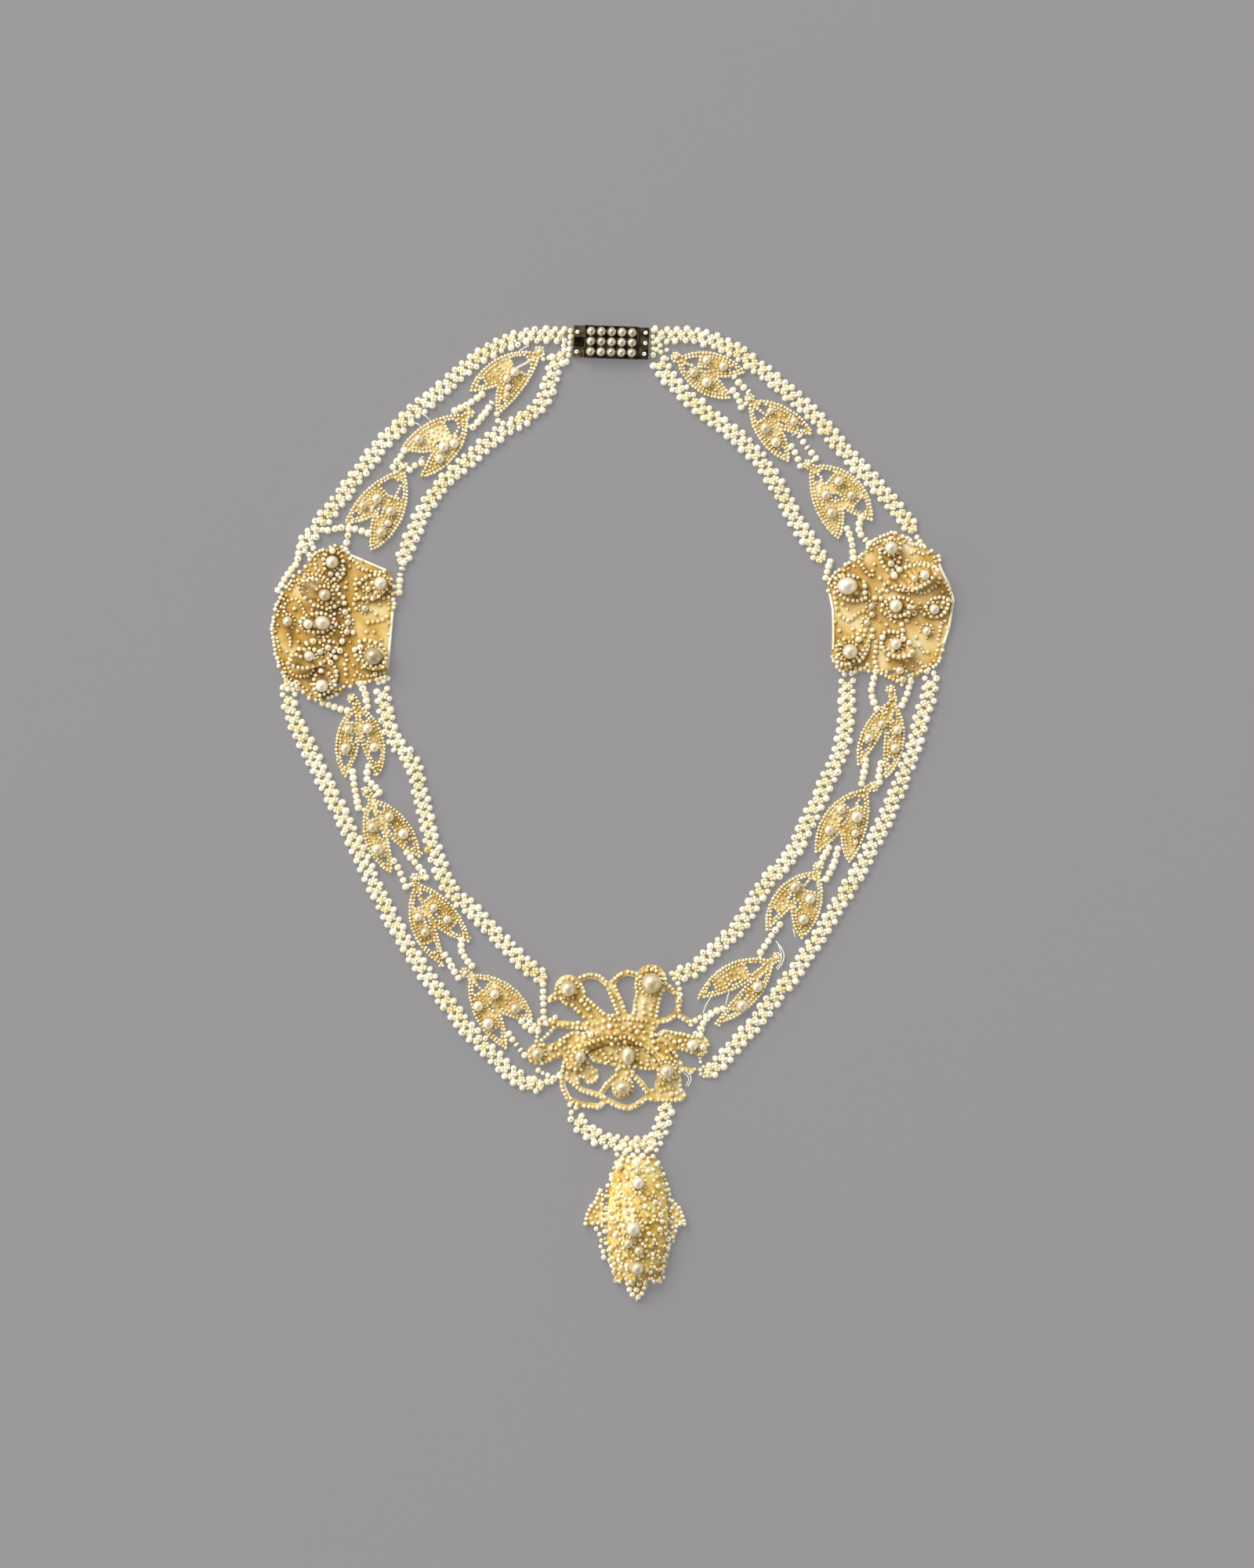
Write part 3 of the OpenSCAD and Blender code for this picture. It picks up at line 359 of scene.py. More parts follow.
# %% Model the bead and the fine bead
def model_bead(name, segments, rings, finish):
    """One drilled bead, a millimetre across, with its hole along X."""
    bpy.ops.object.select_all(action="DESELECT")
    bpy.ops.mesh.primitive_uv_sphere_add(segments=segments, ring_count=rings, radius=0.5 * MM)
    bead = bpy.context.active_object
    bead.name = name
    pick(bead, lambda co: abs(co.z) > 0.43 * MM)  # the ring next to each pole, and the pole
    bpy.ops.transform.resize(value=(0.5, 0.5, 1.0), center_override=(0, 0, 0))
    pick(bead, lambda co: abs(co.z) > 0.499 * MM)  # the poles alone, pushed in
    bpy.ops.transform.resize(value=(1, 1, 0.84), center_override=(0, 0, 0))
    bpy.ops.mesh.select_all(action="SELECT")
    bpy.ops.transform.rotate(value=math.pi / 2, orient_axis="Y", center_override=(0, 0, 0))
    bpy.ops.object.mode_set(mode="OBJECT")
    bpy.ops.object.shade_smooth()
    bead.data.materials.append(finish)
    bead.data.materials.append(DRILL_HOLE_SHADE)
    # the fans round both poles take the drill hole's painted shade
    for face in bead.data.polygons:
        face.material_index = int(len(face.vertices) == 3)
    return bead


BEAD = model_bead("drilled_seed_pearl", 10, 7, SEED_PEARL)
FINE_BEAD = model_bead("fine_drilled_pearl", 8, 6, GOLD_SEED_PEARL)
print("beads:", [len(model.data.polygons) for model in (BEAD, FINE_BEAD)], "faces")

# %% [markdown]
# The big pearls aren't drilled from above, so they show a whole skin. Their model is a finer
# sphere with a slight lumpiness, which a displacement by a soft cloud texture gives it.

# %% Model the smooth pearls
LUMP_MM = 0.9


def model_pearl(name, finish, lumps_mm):
    """One smooth pearl, a millimetre across, not quite round."""
    bpy.ops.object.select_all(action="DESELECT")
    bpy.ops.mesh.primitive_uv_sphere_add(segments=20, ring_count=14, radius=0.5 * MM)
    pearl = bpy.context.active_object
    pearl.name = name
    pick(pearl, lambda co: True)
    bpy.ops.transform.rotate(value=math.pi / 2, orient_axis="Y", center_override=(0, 0, 0))
    bpy.ops.object.mode_set(mode="OBJECT")
    clouds = bpy.data.textures.new("lumps_of_" + name, "CLOUDS")
    clouds.noise_scale, clouds.noise_depth = LUMP_MM * MM, 0
    lumps = pearl.modifiers.new("lumps", "DISPLACE")
    lumps.texture, lumps.strength, lumps.mid_level = clouds, lumps_mm * MM, 0.5
    bpy.ops.object.modifier_apply(modifier="lumps")
    bpy.ops.object.shade_smooth()
    pearl.data.materials.append(finish)
    return pearl


BAROQUE = model_pearl("baroque_pearl", BIG_PEARL, 0.018)
ROUND = model_pearl("round_pearl", CLASP_PEARL, 0.02)
print("smooth pearls:", [len(model.data.polygons) for model in (BAROQUE, ROUND)], "faces")

# %% [markdown]
# Sewing: a piece starts as bare points, one for each bead, and each point carries the bead's
# diameters, its turn and its tint. A Geometry Nodes tree puts a copy of the bead on each point
# and makes the copies real, and the modifier is then applied, so what is left is one plain mesh.
# That is how a seamstress works too: first the pattern is pricked, then the beads go on.

# %% The sewing tree
def sewing_tree(bead):
    """The Geometry Nodes tree that puts one model on every point of a piece."""
    tree = bpy.data.node_groups.new("sewing_" + bead.name, "GeometryNodeTree")
    tree.interface.new_socket("Geometry", in_out="INPUT", socket_type="NodeSocketGeometry")
    tree.interface.new_socket("Geometry", in_out="OUTPUT", socket_type="NodeSocketGeometry")
    points = add(tree, "NodeGroupInput").outputs[0]
    shape = add(tree, "GeometryNodeObjectInfo", {"Object": bead, "As Instance": True})
    turn, size = (
        add(tree, "GeometryNodeInputNamedAttribute", {"Name": label}, data_type="FLOAT_VECTOR")
        for label in ("turn", "size"))
    spin = add(tree, "FunctionNodeEulerToRotation", {}, {"Euler": turn.outputs["Attribute"]})
    sewn = add(tree, "GeometryNodeInstanceOnPoints", {}, {
        "Points": points, "Instance": shape.outputs["Geometry"],
        "Rotation": spin.outputs[0], "Scale": size.outputs["Attribute"]})
    real = add(tree, "GeometryNodeRealizeInstances", {}, {"Geometry": sewn.outputs[0]})
    add(tree, "NodeGroupOutput", {}, {"Geometry": real.outputs[0]})
    return tree


SEWING = {bead.name: sewing_tree(bead) for bead in (BEAD, FINE_BEAD, BAROQUE, ROUND)}
print("models that can be sewn:", ", ".join(SEWING))

# %% The sew function
def spot(x, y, z, d, heading=0.0, tint=0.3, flat=1.0, long=1.0, lean=0.0):
    """One bead: its middle and diameter in millimetres, how it lies, and its tint."""
    return ((x * MM, y * MM, z * MM), (d * long, d, d * flat), (0.0, lean, heading), tint)


def sew(name, bead, spots, slot, *stands_for):
    """Makes one mesh of all the beads of a piece, and ties it into the frame."""
    mesh = bpy.data.meshes.new(name)
    mesh.from_pydata([s[0] for s in spots], [], [])
    for column, label in ((1, "size"), (2, "turn")):
        layer = mesh.attributes.new(label, "FLOAT_VECTOR", "POINT")
        layer.data.foreach_set("vector", [v for s in spots for v in s[column]])
    layer = mesh.attributes.new("tint", "FLOAT", "POINT")
    layer.data.foreach_set("value", [s[3] for s in spots])
    piece = bpy.data.objects.new(name, mesh)
    bpy.context.scene.collection.objects.link(piece)
    only(piece)
    piece.modifiers.new("sewing", "NODES").node_group = SEWING[bead.name]
    bpy.ops.object.modifier_apply(modifier="sewing")
    for label in ("size", "turn"):
        if label in piece.data.attributes:
            piece.data.attributes.remove(piece.data.attributes[label])
    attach(piece, "root")
    if stands_for:
        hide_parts(*stands_for)
    print(name, len(spots), "beads,", len(piece.data.polygons), "faces")


print("a bead of 1.5 mm on the table:", spot(0, 0, 0.75, 1.5))

# %% [markdown]
# A route is a few listed points on the middle line of a band or a string. A smooth curve through
# them is walked in even steps, and each step gives a station: its place and heading.

# %% Stations along a route
CURVE_STEPS = 10  # straight bits of the smooth curve between two points of a route


def walk(line, step, least=1):
    """Even stations (x, y, heading) along a line of short straight bits, in millimetres."""
    lengths = [0.0]
    for a, b in zip(line, line[1:]):
        lengths.append(lengths[-1] + (b - a).length)
    count = max(least, round(lengths[-1] / step))
    found, i = [], 0
    for k in range(count):
        goal = (k + 0.5) * lengths[-1] / count
        while lengths[i + 1] < goal:
            i += 1
        way = line[i + 1] - line[i]
        place = line[i] + way * ((goal - lengths[i]) / (lengths[i + 1] - lengths[i]))
        found.append((place.x, place.y, math.atan2(way.y, way.x)))
    return found


def stations(route, step):
    """Even stations on a smooth curve through a route."""
    points = [Vector(p) for p in route]
    ends = [2 * points[0] - points[1]] + points + [2 * points[-1] - points[-2]]
    line = []
    for a, b, c, d in zip(ends, ends[1:], ends[2:], ends[3:]):
        for k in range(CURVE_STEPS):
            t = k / CURVE_STEPS
            line.append(0.5 * (2 * b + t * (c - a) + t * t * (2 * a - 5 * b + 4 * c - d)
                               + t * t * t * (3 * b - a - 3 * c + d)))
    return walk(line + [points[-1]], step)


def beside(station, along, across):
    """A point so far along and to the left of a station."""
    x, y, turn = station
    return (x + along * math.cos(turn) - across * math.sin(turn),
            y + along * math.sin(turn) + across * math.cos(turn))


print("stations on a test line:", len(stations([(0, 0), (10, 0)], 2.1)))

# %% [markdown]
# The bands are woven, not strung: every 2.12 mm two pearls sit side by side at the rims, and a
# tighter knot of one middle pearl, one at each side of it and four small ones ties them to the
# next pair. A star-shaped hole stays between, through which the table shows. The weave is written
# once and follows every band's route. Real seed pearls are never quite round or even, so each is
# nudged a little, and the cream yellows and pales slowly along a band.

# %% Routes of the bands
BANDS = {
    "band_outer_left_upper": [
        (-9.1, 101.5), (-16, 101.4), (-21, 100.6), (-27.5, 97.5), (-31, 94.8), (-37.5, 89.1),
        (-43.6, 84), (-49, 78.4), (-54, 72.2), (-58.8, 65.8), (-63.5, 60), (-65.8, 56.9)],
    "band_inner_left_upper": [
        (-9.2, 97.3), (-11.5, 96.5), (-12.9, 93.5), (-13.4, 91), (-15, 87.4), (-17.8, 84.7),
        (-24.5, 80.4), (-30.5, 75.2), (-36.3, 69.9), (-40.7, 63.2), (-43.9, 56), (-44.8, 53.4)],
    "band_outer_right_upper": [
        (8.1, 101.6), (12.5, 101.4), (16.5, 101.4), (20.5, 100.6), (24, 99.2), (27, 97.4),
        (30.8, 94.6), (37, 89.4), (43, 84.2), (48, 78.2), (53.4, 72.2), (58.8, 66.3), (61.4, 63.1),
        (63.6, 60.2)],
    "band_inner_right_upper": [
        (8.9, 96.8), (10, 95.2), (12.5, 91.6), (19.3, 85.3), (25.7, 80.4), (31.3, 74.8),
        (35.7, 68), (39.4, 61), (41.8, 57.7), (44.2, 54)],
    "band_outer_left_lower": [
        (-69, 26), (-68.6, 22), (-67, 18.2), (-63.5, 11), (-60, 3.8), (-56.4, -3.2),
        (-53.1, -10.5), (-49.6, -17.8), (-45.9, -24.6), (-41.7, -31.6), (-37, -38.2),
        (-32.2, -44.5), (-26.7, -50.4), (-21, -56), (-17.4, -57.9), (-15.6, -57.7)],
    "band_inner_left_lower": [
        (-49.3, 27), (-48.5, 22), (-47.8, 18.5), (-46, 14.6), (-43.8, 12), (-42, 8.6),
        (-41.2, 4.6), (-40.2, 0.7), (-38.4, -7), (-35.6, -14.5), (-33.6, -17.8), (-30.4, -20.2),
        (-24.8, -26.1), (-19.2, -31.8), (-16.2, -34.3), (-14.9, -34.9)],
    "band_inner_right_lower": [
        (49.8, 29), (49.7, 25), (49.7, 21.1), (48.4, 13.2), (45.1, 5.8), (41.7, -1.4),
        (38.1, -8.6), (32.6, -14.8), (28.6, -21.3), (26.2, -24.8), (20.4, -30.3), (17.3, -33.1),
        (13.8, -34.6)],
    "band_outer_right_lower": [
        (67.5, 29.4), (67.2, 25.5), (66, 21.7), (63.9, 14.2), (61.3, 6.7), (59.7, 2.8),
        (56.3, -4.4), (52.7, -11.4), (48.6, -18.3), (44.4, -25.1), (40.1, -31.8), (35, -38.4),
        (30.3, -44.6), (27.6, -47.5), (22.5, -53.3), (20.2, -55.3)],
    "pendant_swag": [
        (-8.3, -63.8), (-6.5, -66.8), (-3.3, -69), (0.7, -70.2), (4.8, -70.6), (8.8, -69.7),
        (10.4, -66), (11.5, -62.3)],
}
print("bands:", len(BANDS), "with", sum(map(len, BANDS.values())), "points")

# %% Weave the bands
PITCH = 2.12
RIM_OFFSET, RIM_D = 1.25, 1.55
KNOT_D, SIDE_D, SIDE_OFFSET = 1.05, 1.0, 0.72
NECK_D, NECK_ALONG, NECK_OFFSET = 0.8, 0.56, 0.4
SIDE_Z, NECK_Z, KNOT_Z = 0.72, 0.9, 1.0
NUDGE, RIM_NUDGE_ALONG, RIM_NUDGE_ACROSS = 0.1, 0.28, 0.14
STAINED = [(-39.1, -8.6), (-54.3, -7.8), (50.4, -10.6), (-43.3, 55.3)]  # single amber pearls


def hole_turn(share):
    """Lean of a bead: a share of them show the drill hole, the others hide it."""
    return rng.uniform(1.1, 1.9) if rng.random() < share else rng.uniform(-0.2, 0.2)


def weave(route):
    """All the pearls of one woven band."""
    spots, phase = [], rng.uniform(0, 6)
    for k, station in enumerate(stations(route, PITCH)):
        turn = station[2]
        aged = 0.22 + 0.22 * math.sin(0.8 * k + phase) * math.sin(0.23 * k)
        for side in (-1, 1):
            d = RIM_D * rng.uniform(0.84, 1.12)
            x, y = beside(
                station, rng.uniform(-RIM_NUDGE_ALONG, RIM_NUDGE_ALONG),
                side * (RIM_OFFSET + rng.uniform(-RIM_NUDGE_ACROSS, RIM_NUDGE_ACROSS)))
            near = min(math.hypot(x - a, y - b) for a, b in STAINED)
            tint = 1.0 if near < 1.0 else aged * rng.uniform(0.0, 1.2)
            spots.append(spot(x, y, d / 2, d, turn + rng.uniform(-0.3, 0.3), tint,
                              rng.uniform(0.88, 1.0), rng.uniform(0.92, 1.06), hole_turn(0.2)))
            d = SIDE_D * rng.uniform(0.85, 1.15)
            x, y = beside(station, PITCH / 2 + rng.uniform(-NUDGE, NUDGE), side * SIDE_OFFSET)
            spots.append(spot(x, y, SIDE_Z + rng.uniform(-0.05, 0.1), d, turn,
                              aged + rng.uniform(0.0, 0.45), lean=hole_turn(0.4)))
            for along in (NECK_ALONG, PITCH - NECK_ALONG):
                x, y = beside(station, along + rng.uniform(-NUDGE, NUDGE), side * NECK_OFFSET)
                spots.append(spot(x, y, NECK_Z + rng.uniform(-0.1, 0.15), NECK_D, turn,
                                  aged + rng.uniform(0.1, 0.5), lean=hole_turn(0.4)))
        d = KNOT_D * rng.uniform(0.85, 1.1)
        x, y = beside(station, PITCH / 2, rng.uniform(-NUDGE, NUDGE))
        spots.append(spot(x, y, KNOT_Z, d, turn + rng.uniform(-0.5, 0.5),
                          aged + rng.uniform(0.0, 0.5), lean=hole_turn(0.45)))
    return spots


for node, route in BANDS.items():
    sew("pearls_of_" + node, BEAD, weave(route), "woven_band", node)

# %% [markdown]
# Short strings of single pearls link the leaves to the bands and to each other. They are plain
# strung beads, touching, each a little different from its neighbour, and a few are thin discs.

# %% String the link strings
LINK_D, LINK_REACH = 1.62, 1.5
LINK_PITCH = 0.84 * LINK_D
DISCS, DISC_LONG, PEARL_LONG = 0.08, 0.6, 0.97
LINKS = {
    "strings_left_upper": [
        [(-28.5, 88.4), (-30.5, 87), (-33, 85.7)], [(-26.2, 86.5), (-27.5, 84.5), (-29.2, 82.6)],
        [(-44.8, 76.2), (-45.6, 75), (-46.3, 74.1)], [(-41.4, 74), (-42.1, 73.7), (-42.7, 73.2)],
        [(-59.8, 60), (-56.5, 60.6), (-52.9, 59.6)], [(-56.2, 59.6), (-56.5, 58), (-56.9, 56.6)],
        [(-66.8, 55.7), (-67.4, 52.8), (-68.9, 50.9), (-70.8, 48)],
        [(-44.8, 52.3), (-45.3, 50), (-45.5, 47.6)]],
    "strings_right_upper": [
        [(26.2, 92), (27, 91), (28.2, 89.9)], [(25.8, 89), (26.6, 87.9), (26.9, 86.9)],
        [(40, 79.3), (41, 77.8), (42.6, 75.9)], [(38.2, 77.2), (39, 75.8), (39.5, 74.4)],
        [(52.5, 61.8), (52.2, 60.5), (52.7, 59), (53.8, 57.8)],
        [(49.9, 59.6), (50.6, 57.8), (51, 55)], [(45.9, 52.6), (45.6, 51.8), (45.4, 50.8)]],
    "strings_left_lower": [
        [(-61, 23.1), (-59, 22.4), (-57.4, 21.9)], [(-53.4, 26.7), (-52.7, 25.2), (-52.4, 23.4)],
        [(-55.3, 7.8), (-55, 5.5), (-54.7, 3.5), (-54.3, 1.8)],
        [(-52.2, 9), (-52.4, 7.3), (-51.2, 6), (-50.2, 4.9)],
        [(-46.2, -11), (-45.3, -12.7), (-44.4, -15)],
        [(-43.4, -9.1), (-41.8, -11), (-40.2, -13.1)],
        [(-35.3, -31), (-34.3, -32.7), (-33.4, -34.3)],
        [(-32.2, -27.9), (-32, -30), (-30.6, -31.9)],
        [(-21.8, -47.7), (-20.6, -49.3), (-19.3, -51)], [(-19, -44.9), (-18, -46), (-16.8, -46.2)],
        [(-14.9, -37.3), (-14.9, -39.8), (-14.8, -42.8)],
        [(-14.8, -57.5), (-13.3, -56.8), (-12, -56.2)]],
    "strings_right_lower": [
        [(55.6, 29.2), (55, 26.5), (55.1, 24.3), (55.7, 22.9)],
        [(63, 27.1), (62.4, 25), (61.7, 23.6)], [(53.6, 10.3), (53.3, 8.6), (52.9, 7)],
        [(56.8, 9.6), (56.5, 8.2), (56.6, 7.2)], [(45.4, -8.2), (44.9, -9), (44.5, -9.9)],
        [(47.5, -8.4), (46.9, -10.7), (45.6, -13.4)], [(34.9, -24.5), (33.4, -26.6), (31.8, -29)],
        [(22.5, -42), (20.6, -43), (19.3, -44.6), (18.7, -46.6)]],
}


def string_walk(route):
    """Stations of a short string's pearls. It runs on until it touches what it links."""
    a, b, y, z = (Vector(route[i]) for i in (0, 1, -2, -1))
    longer = [a + (a - b).normalized() * LINK_REACH, *route[1:-1],
              z + (z - y).normalized() * LINK_REACH]
    return stations(longer, LINK_PITCH)


def string_of(route):
    """The pearls of one short string."""
    spots = []
    for x, y, turn in string_walk(route):
        disc = rng.random() < DISCS
        d = LINK_D * (rng.uniform(0.85, 0.95) if disc else rng.uniform(0.92, 1.08))
        spots.append(spot(x + rng.uniform(-0.08, 0.08), y + rng.uniform(-0.08, 0.08),
                          LINK_D / 2, d, turn, rng.uniform(0.0, 0.5), 1.0,
                          DISC_LONG if disc else PEARL_LONG, hole_turn(0.15)))
    return spots


for node, routes in LINKS.items():
    sew("pearls_of_" + node, BEAD, [s for route in routes for s in string_of(route)],
        "pearl_string", node)

# %% [markdown]
# Where a band or a string meets the rosettes, the centre and the pendant, the seamstress filled the
# corner with whatever pearls were left, so there the weave turns into small clusters. Their rows
# are listed: a diameter, then the points, all lying on the table.

# %% Sew the joining clusters
JOIN_ROWS = [
    (1.25, [(12.2, -33.6), (12.9, -35.2), (13.9, -36.6), (14.2, -38.4), (14.1, -40.2),
        (13.7, -41.8)]),
    (1.2, [(-15.4, 96.1), (-14.2, 96.6), (-13.2, 96.6)]),
    (1.3, [(-24.8, 85.4), (-24.4, 82.6)]),
    (1.3, [(-18.2, -44.2), (-17, -45.2), (-15.6, -45), (-14.2, -44.6), (-12.8, -43.8),
        (-11.8, -43.2)]),
    (1.2, [(-16.4, -54.4), (-14.9, -55.4), (-13.4, -56)]),
    (1.1, [(-14.2, -57.6), (-12.6, -57.2)]),
    (1.3, [(21.2, -42.2), (19.6, -43.2), (18.2, -43.6), (17, -44.6), (16, -45.4)]),
    (1.2, [(18.9, -45.4), (17.8, -46.3), (17.2, -47.6)]),
    (0.9, [(19.7, -53.6), (20.9, -54.6), (20.4, -55.9), (19, -56), (18.5, -54.8), (19.5, -53.7)]),
    (0.85, [(15, -54.2), (16.2, -54.6), (17.8, -54.5)]),
    (0.85, [(18.2, -50), (18.4, -51.5), (18.6, -53.4)]),
    (1.25, [(-9.9, -61.7), (-8.6, -62.3), (-7.2, -62.9)]),
    (1.2, [(-9.6, -63.3), (-8.2, -64.1)]),
    (1.4, [(-66.4, 57.2), (-65.6, 55.6), (-64.2, 54.4)]),
    (1.3, [(-64.6, 57.4), (-63.4, 55.8)]),
    (1.3, [(-70, 27.4), (-68.4, 27.2), (-66.9, 27.8)]),
    (1.3, [(-50.4, 27.6), (-48.8, 28), (-47.4, 28.8)]),
    (1.4, [(64.2, 59), (65.2, 57.6), (66, 56)]),
    (1.3, [(62.2, 58.6), (63.4, 56.8)]),
    (1.3, [(45.4, 53.4), (46.8, 52.4)]),
    (1.3, [(48.4, 29.2), (49.8, 29.6), (51.4, 29.5)]),
    (1.3, [(66, 30.2), (67.3, 29.8), (68.8, 29.5)]),
    (1.3, [(-70.8, 26.8), (-69.4, 26.3), (-67.6, 26.2), (-66.4, 26.6)]),
    (1.35, [(-9.1, 103), (-9, 101.4), (-9.2, 99.8), (-9.3, 98.2), (-9.6, 96.6)]),
    (1.1, [(-10.4, 99.8), (-10.8, 98.6)]),
    (1.35, [(8.4, 103), (8.3, 101.4), (8.4, 99.8), (8.5, 98.2), (8.4, 96.6)]),
    (1.2, [(9.7, 99.9), (10.2, 98.4), (9.9, 97.2)]),
    (1.1, [(11.2, 99), (11.6, 97.6)]),
    (1.1, [(9.2, 98.9), (9.2, 97.8)]),
    (1.0, [(10.9, 96.6), (12, 96.2)]),
]
JOIN_PITCH = 0.97  # in diameters, so that they touch
joints = [spot(x, y, d * rng.uniform(0.5, 0.75), d * rng.uniform(0.85, 1.12), turn,
               rng.uniform(0.0, 0.6), lean=hole_turn(0.25))
          for d, route in JOIN_ROWS for x, y, turn in stations(route, d * JOIN_PITCH)]
sew("joining_pearls", BEAD, joints, "pearl_string")

# %% [markdown]
# The small pearls on the leaves, rosettes and pendant lie on cut plates, so each must find its
# own height. A ray dropped on the CAD plates and petals gives it. A bead that would sink into a
# big pearl, or that lands on one already sewn, is left off, as a seamstress would leave it.

# %% Find what a bead rests on
def tree_of(names):
    """A search tree over the faces of some CAD nodes."""
    points, faces = [], []
    for name in names:
        mesh, base = NODES[name].data, len(points)
        points += [v.co.copy() for v in mesh.vertices]
        faces += [[base + i for i in f.vertices] for f in mesh.polygons]
    return BVHTree.FromPolygons(points, faces)


PEARL_NODES = [n for n in NODES if "pearls" in n]
PLATE_NODES = [n for n in NODES if n.startswith(("leaf_pair", "rosette", "centre", "pendant"))
               and n not in PEARL_NODES and n != "pendant_swag"]
PLATES, PEARLS = tree_of(PLATE_NODES), tree_of(PEARL_NODES)
DOWN, SKY = Vector((0, 0, -1)), 30  # rays start this high
KEEP_OFF = 0.42  # a bead's middle stays off a big pearl by this share of the bead's diameter


def top_of(x, y):
    """Height in millimetres of the plate or petal under a point, or None off the edge."""
    hit = PLATES.ray_cast(Vector((x * MM, y * MM, SKY * MM)), DOWN)[0]
    return None if hit is None else hit.z / MM


def free_of_pearls(x, y, z, d):
    """True where a bead keeps clear of the big pearls."""
    middle = Vector((x, y, z)) * MM
    place, normal, _, gap = PEARLS.find_nearest(middle)
    return (middle - place).dot(normal) > 0 and gap > KEEP_OFF * d * MM


class Cover:
    """The beads of one piece so far, with a grid that finds crowding quickly."""

    def __init__(self):
        self.spots, self.cells = [], {}

    def crowded(self, x, y, z, d, ease=0.8):
        """True where a bead would land on one that is already sewn."""
        cell = (round(x), round(y))
        for i in (-1, 0, 1):
            for j in (-1, 0, 1):
                for a, b, c, e in self.cells.get((cell[0] + i, cell[1] + j), ()):
                    reach = ease * (d + e) / 2
                    if (x - a) ** 2 + (y - b) ** 2 + (z - c) ** 2 < reach * reach:
                        return True
        return False

    def put(self, x, y, d, turn, tint, sink=0.15, z=None, flat=1.0):
        """Sews a bead on, where there is something under it and room for it."""
        if z is None:
            z = top_of(x, y)
            if z is None:
                return
            z += d * (0.5 - sink)
        if not self.crowded(x, y, z, d) and free_of_pearls(x, y, z, d):
            self.cells.setdefault((round(x), round(y)), []).append((x, y, z, d))
            self.spots.append(spot(x, y, z, d, turn, tint, flat, lean=hole_turn(0.22)))


print("plates to sew on:", len(PLATE_NODES), "and pearls to keep clear of:", len(PEARL_NODES))

# %% [markdown]
# A short string is drawn up against the leaf or flower that it is sewn to. The room that is left
# at its end differs from place to place, so it is measured on the plates, and one more pearl, of
# the size that fits, goes in there.

# %% Close the ends of the strings
LEAST_ROOM, MOST_ROOM = 0.2, 1.5
LEAST_D, MOST_D, SUNK = 0.8, 1.45, 0.35


def closing_pearl(x, y, turn):
    """The pearl between a string's last one and the plate beside it, or None without room."""
    last = Vector((x, y, LINK_D / 2))
    way = PLATES.find_nearest(last * MM)[0] / MM - last
    room = way.length - LINK_D / 2
    if not LEAST_ROOM < room < MOST_ROOM:
        return None
    middle = last + way.normalized() * (LINK_D + room) / 2
    return spot(middle.x, middle.y, middle.z, min(max(room + SUNK, LEAST_D), MOST_D), turn)


closing = [closing_pearl(*string_walk(route)[end]) for routes in LINKS.values()
           for route in routes for end in (0, -1)]
sew("string_end_pearls", BEAD, [s for s in closing if s], "pearl_string")

# %% [markdown]
# Each plate is edged with a row of tiny pearls sewn over its rim, and its sawn gaps are edged
# too. The rows follow the plate's own edge, so it is read from the CAD node: the edges that only
# one upward face uses are the outline and the gaps, chained into loops.

# %% Read a plate's edges
def rim_loops(name, height):
    """Closed loops round the flat top of a CAD plate, in millimetres, metal on their left."""
    mesh, edges = NODES[name].data, {}
    for face in mesh.polygons:
        corners = [mesh.vertices[i].co for i in face.vertices]
        if face.normal.z > 0.9 and all(abs(c.z / MM - height) < 0.01 for c in corners):
            keys = [(round(c.x / MM, 3), round(c.y / MM, 3)) for c in corners]
            for a, b in zip(keys, keys[1:] + keys[:1]):
                if edges.pop((b, a), None) is None:
                    edges[(a, b)] = True
    after, loops = dict(edges.keys()), []
    while after:
        start, corner = next(iter(after.items()))
        loop = [start]
        del after[start]
        while corner in after:
            loop.append(corner)
            corner = after.pop(corner)
        if len(loop) > 3:
            loops.append(loop)
    return loops


def turns_left(loop):
    """True for an outline, False for a gap."""
    return sum(a[0] * b[1] - b[0] * a[1] for a, b in zip(loop, loop[1:] + loop[:1])) > 0


def round_the(loop, step):
    """Even stations round a closed loop."""
    return walk([Vector(p) for p in loop] + [Vector(loop[0])], step, 3)


print("loops round the first leaf pair:", len(rim_loops("leaf_pair_left_upper_1", 0.8)))

# %% Edge a plate and strew beads over it
EDGE_LIFT = 0.36  # an edge bead's middle above the plate, in its diameters
FOOTING = 0.4  # a strewn bead needs the plate this far out on all four sides
TRIES = 5  # for each bead that there would be room for
RING_REACH, RING_PITCH, RING_SINK = 0.62, 1.15, 0.32  # in diameters of a ring's beads


def edge_with_beads(cover, name, height, d, tints, inset, outline=False, gapped=1.1, bare=None,
                    loose=0.06):
    """Sews a row of beads just inside the edges of a plate, except where it is left bare."""
    for loop in rim_loops(name, height):
        if outline and not turns_left(loop):
            continue
        for station in round_the(loop, d * gapped):
            if bare and bare(station[0], station[1]):
                continue
            x, y = beside(station, rng.uniform(-loose, loose), inset + rng.uniform(-loose, loose))
            cover.put(x, y, d * rng.uniform(0.85, 1.15), station[2], rng.uniform(*tints),
                      z=height + d * EDGE_LIFT)


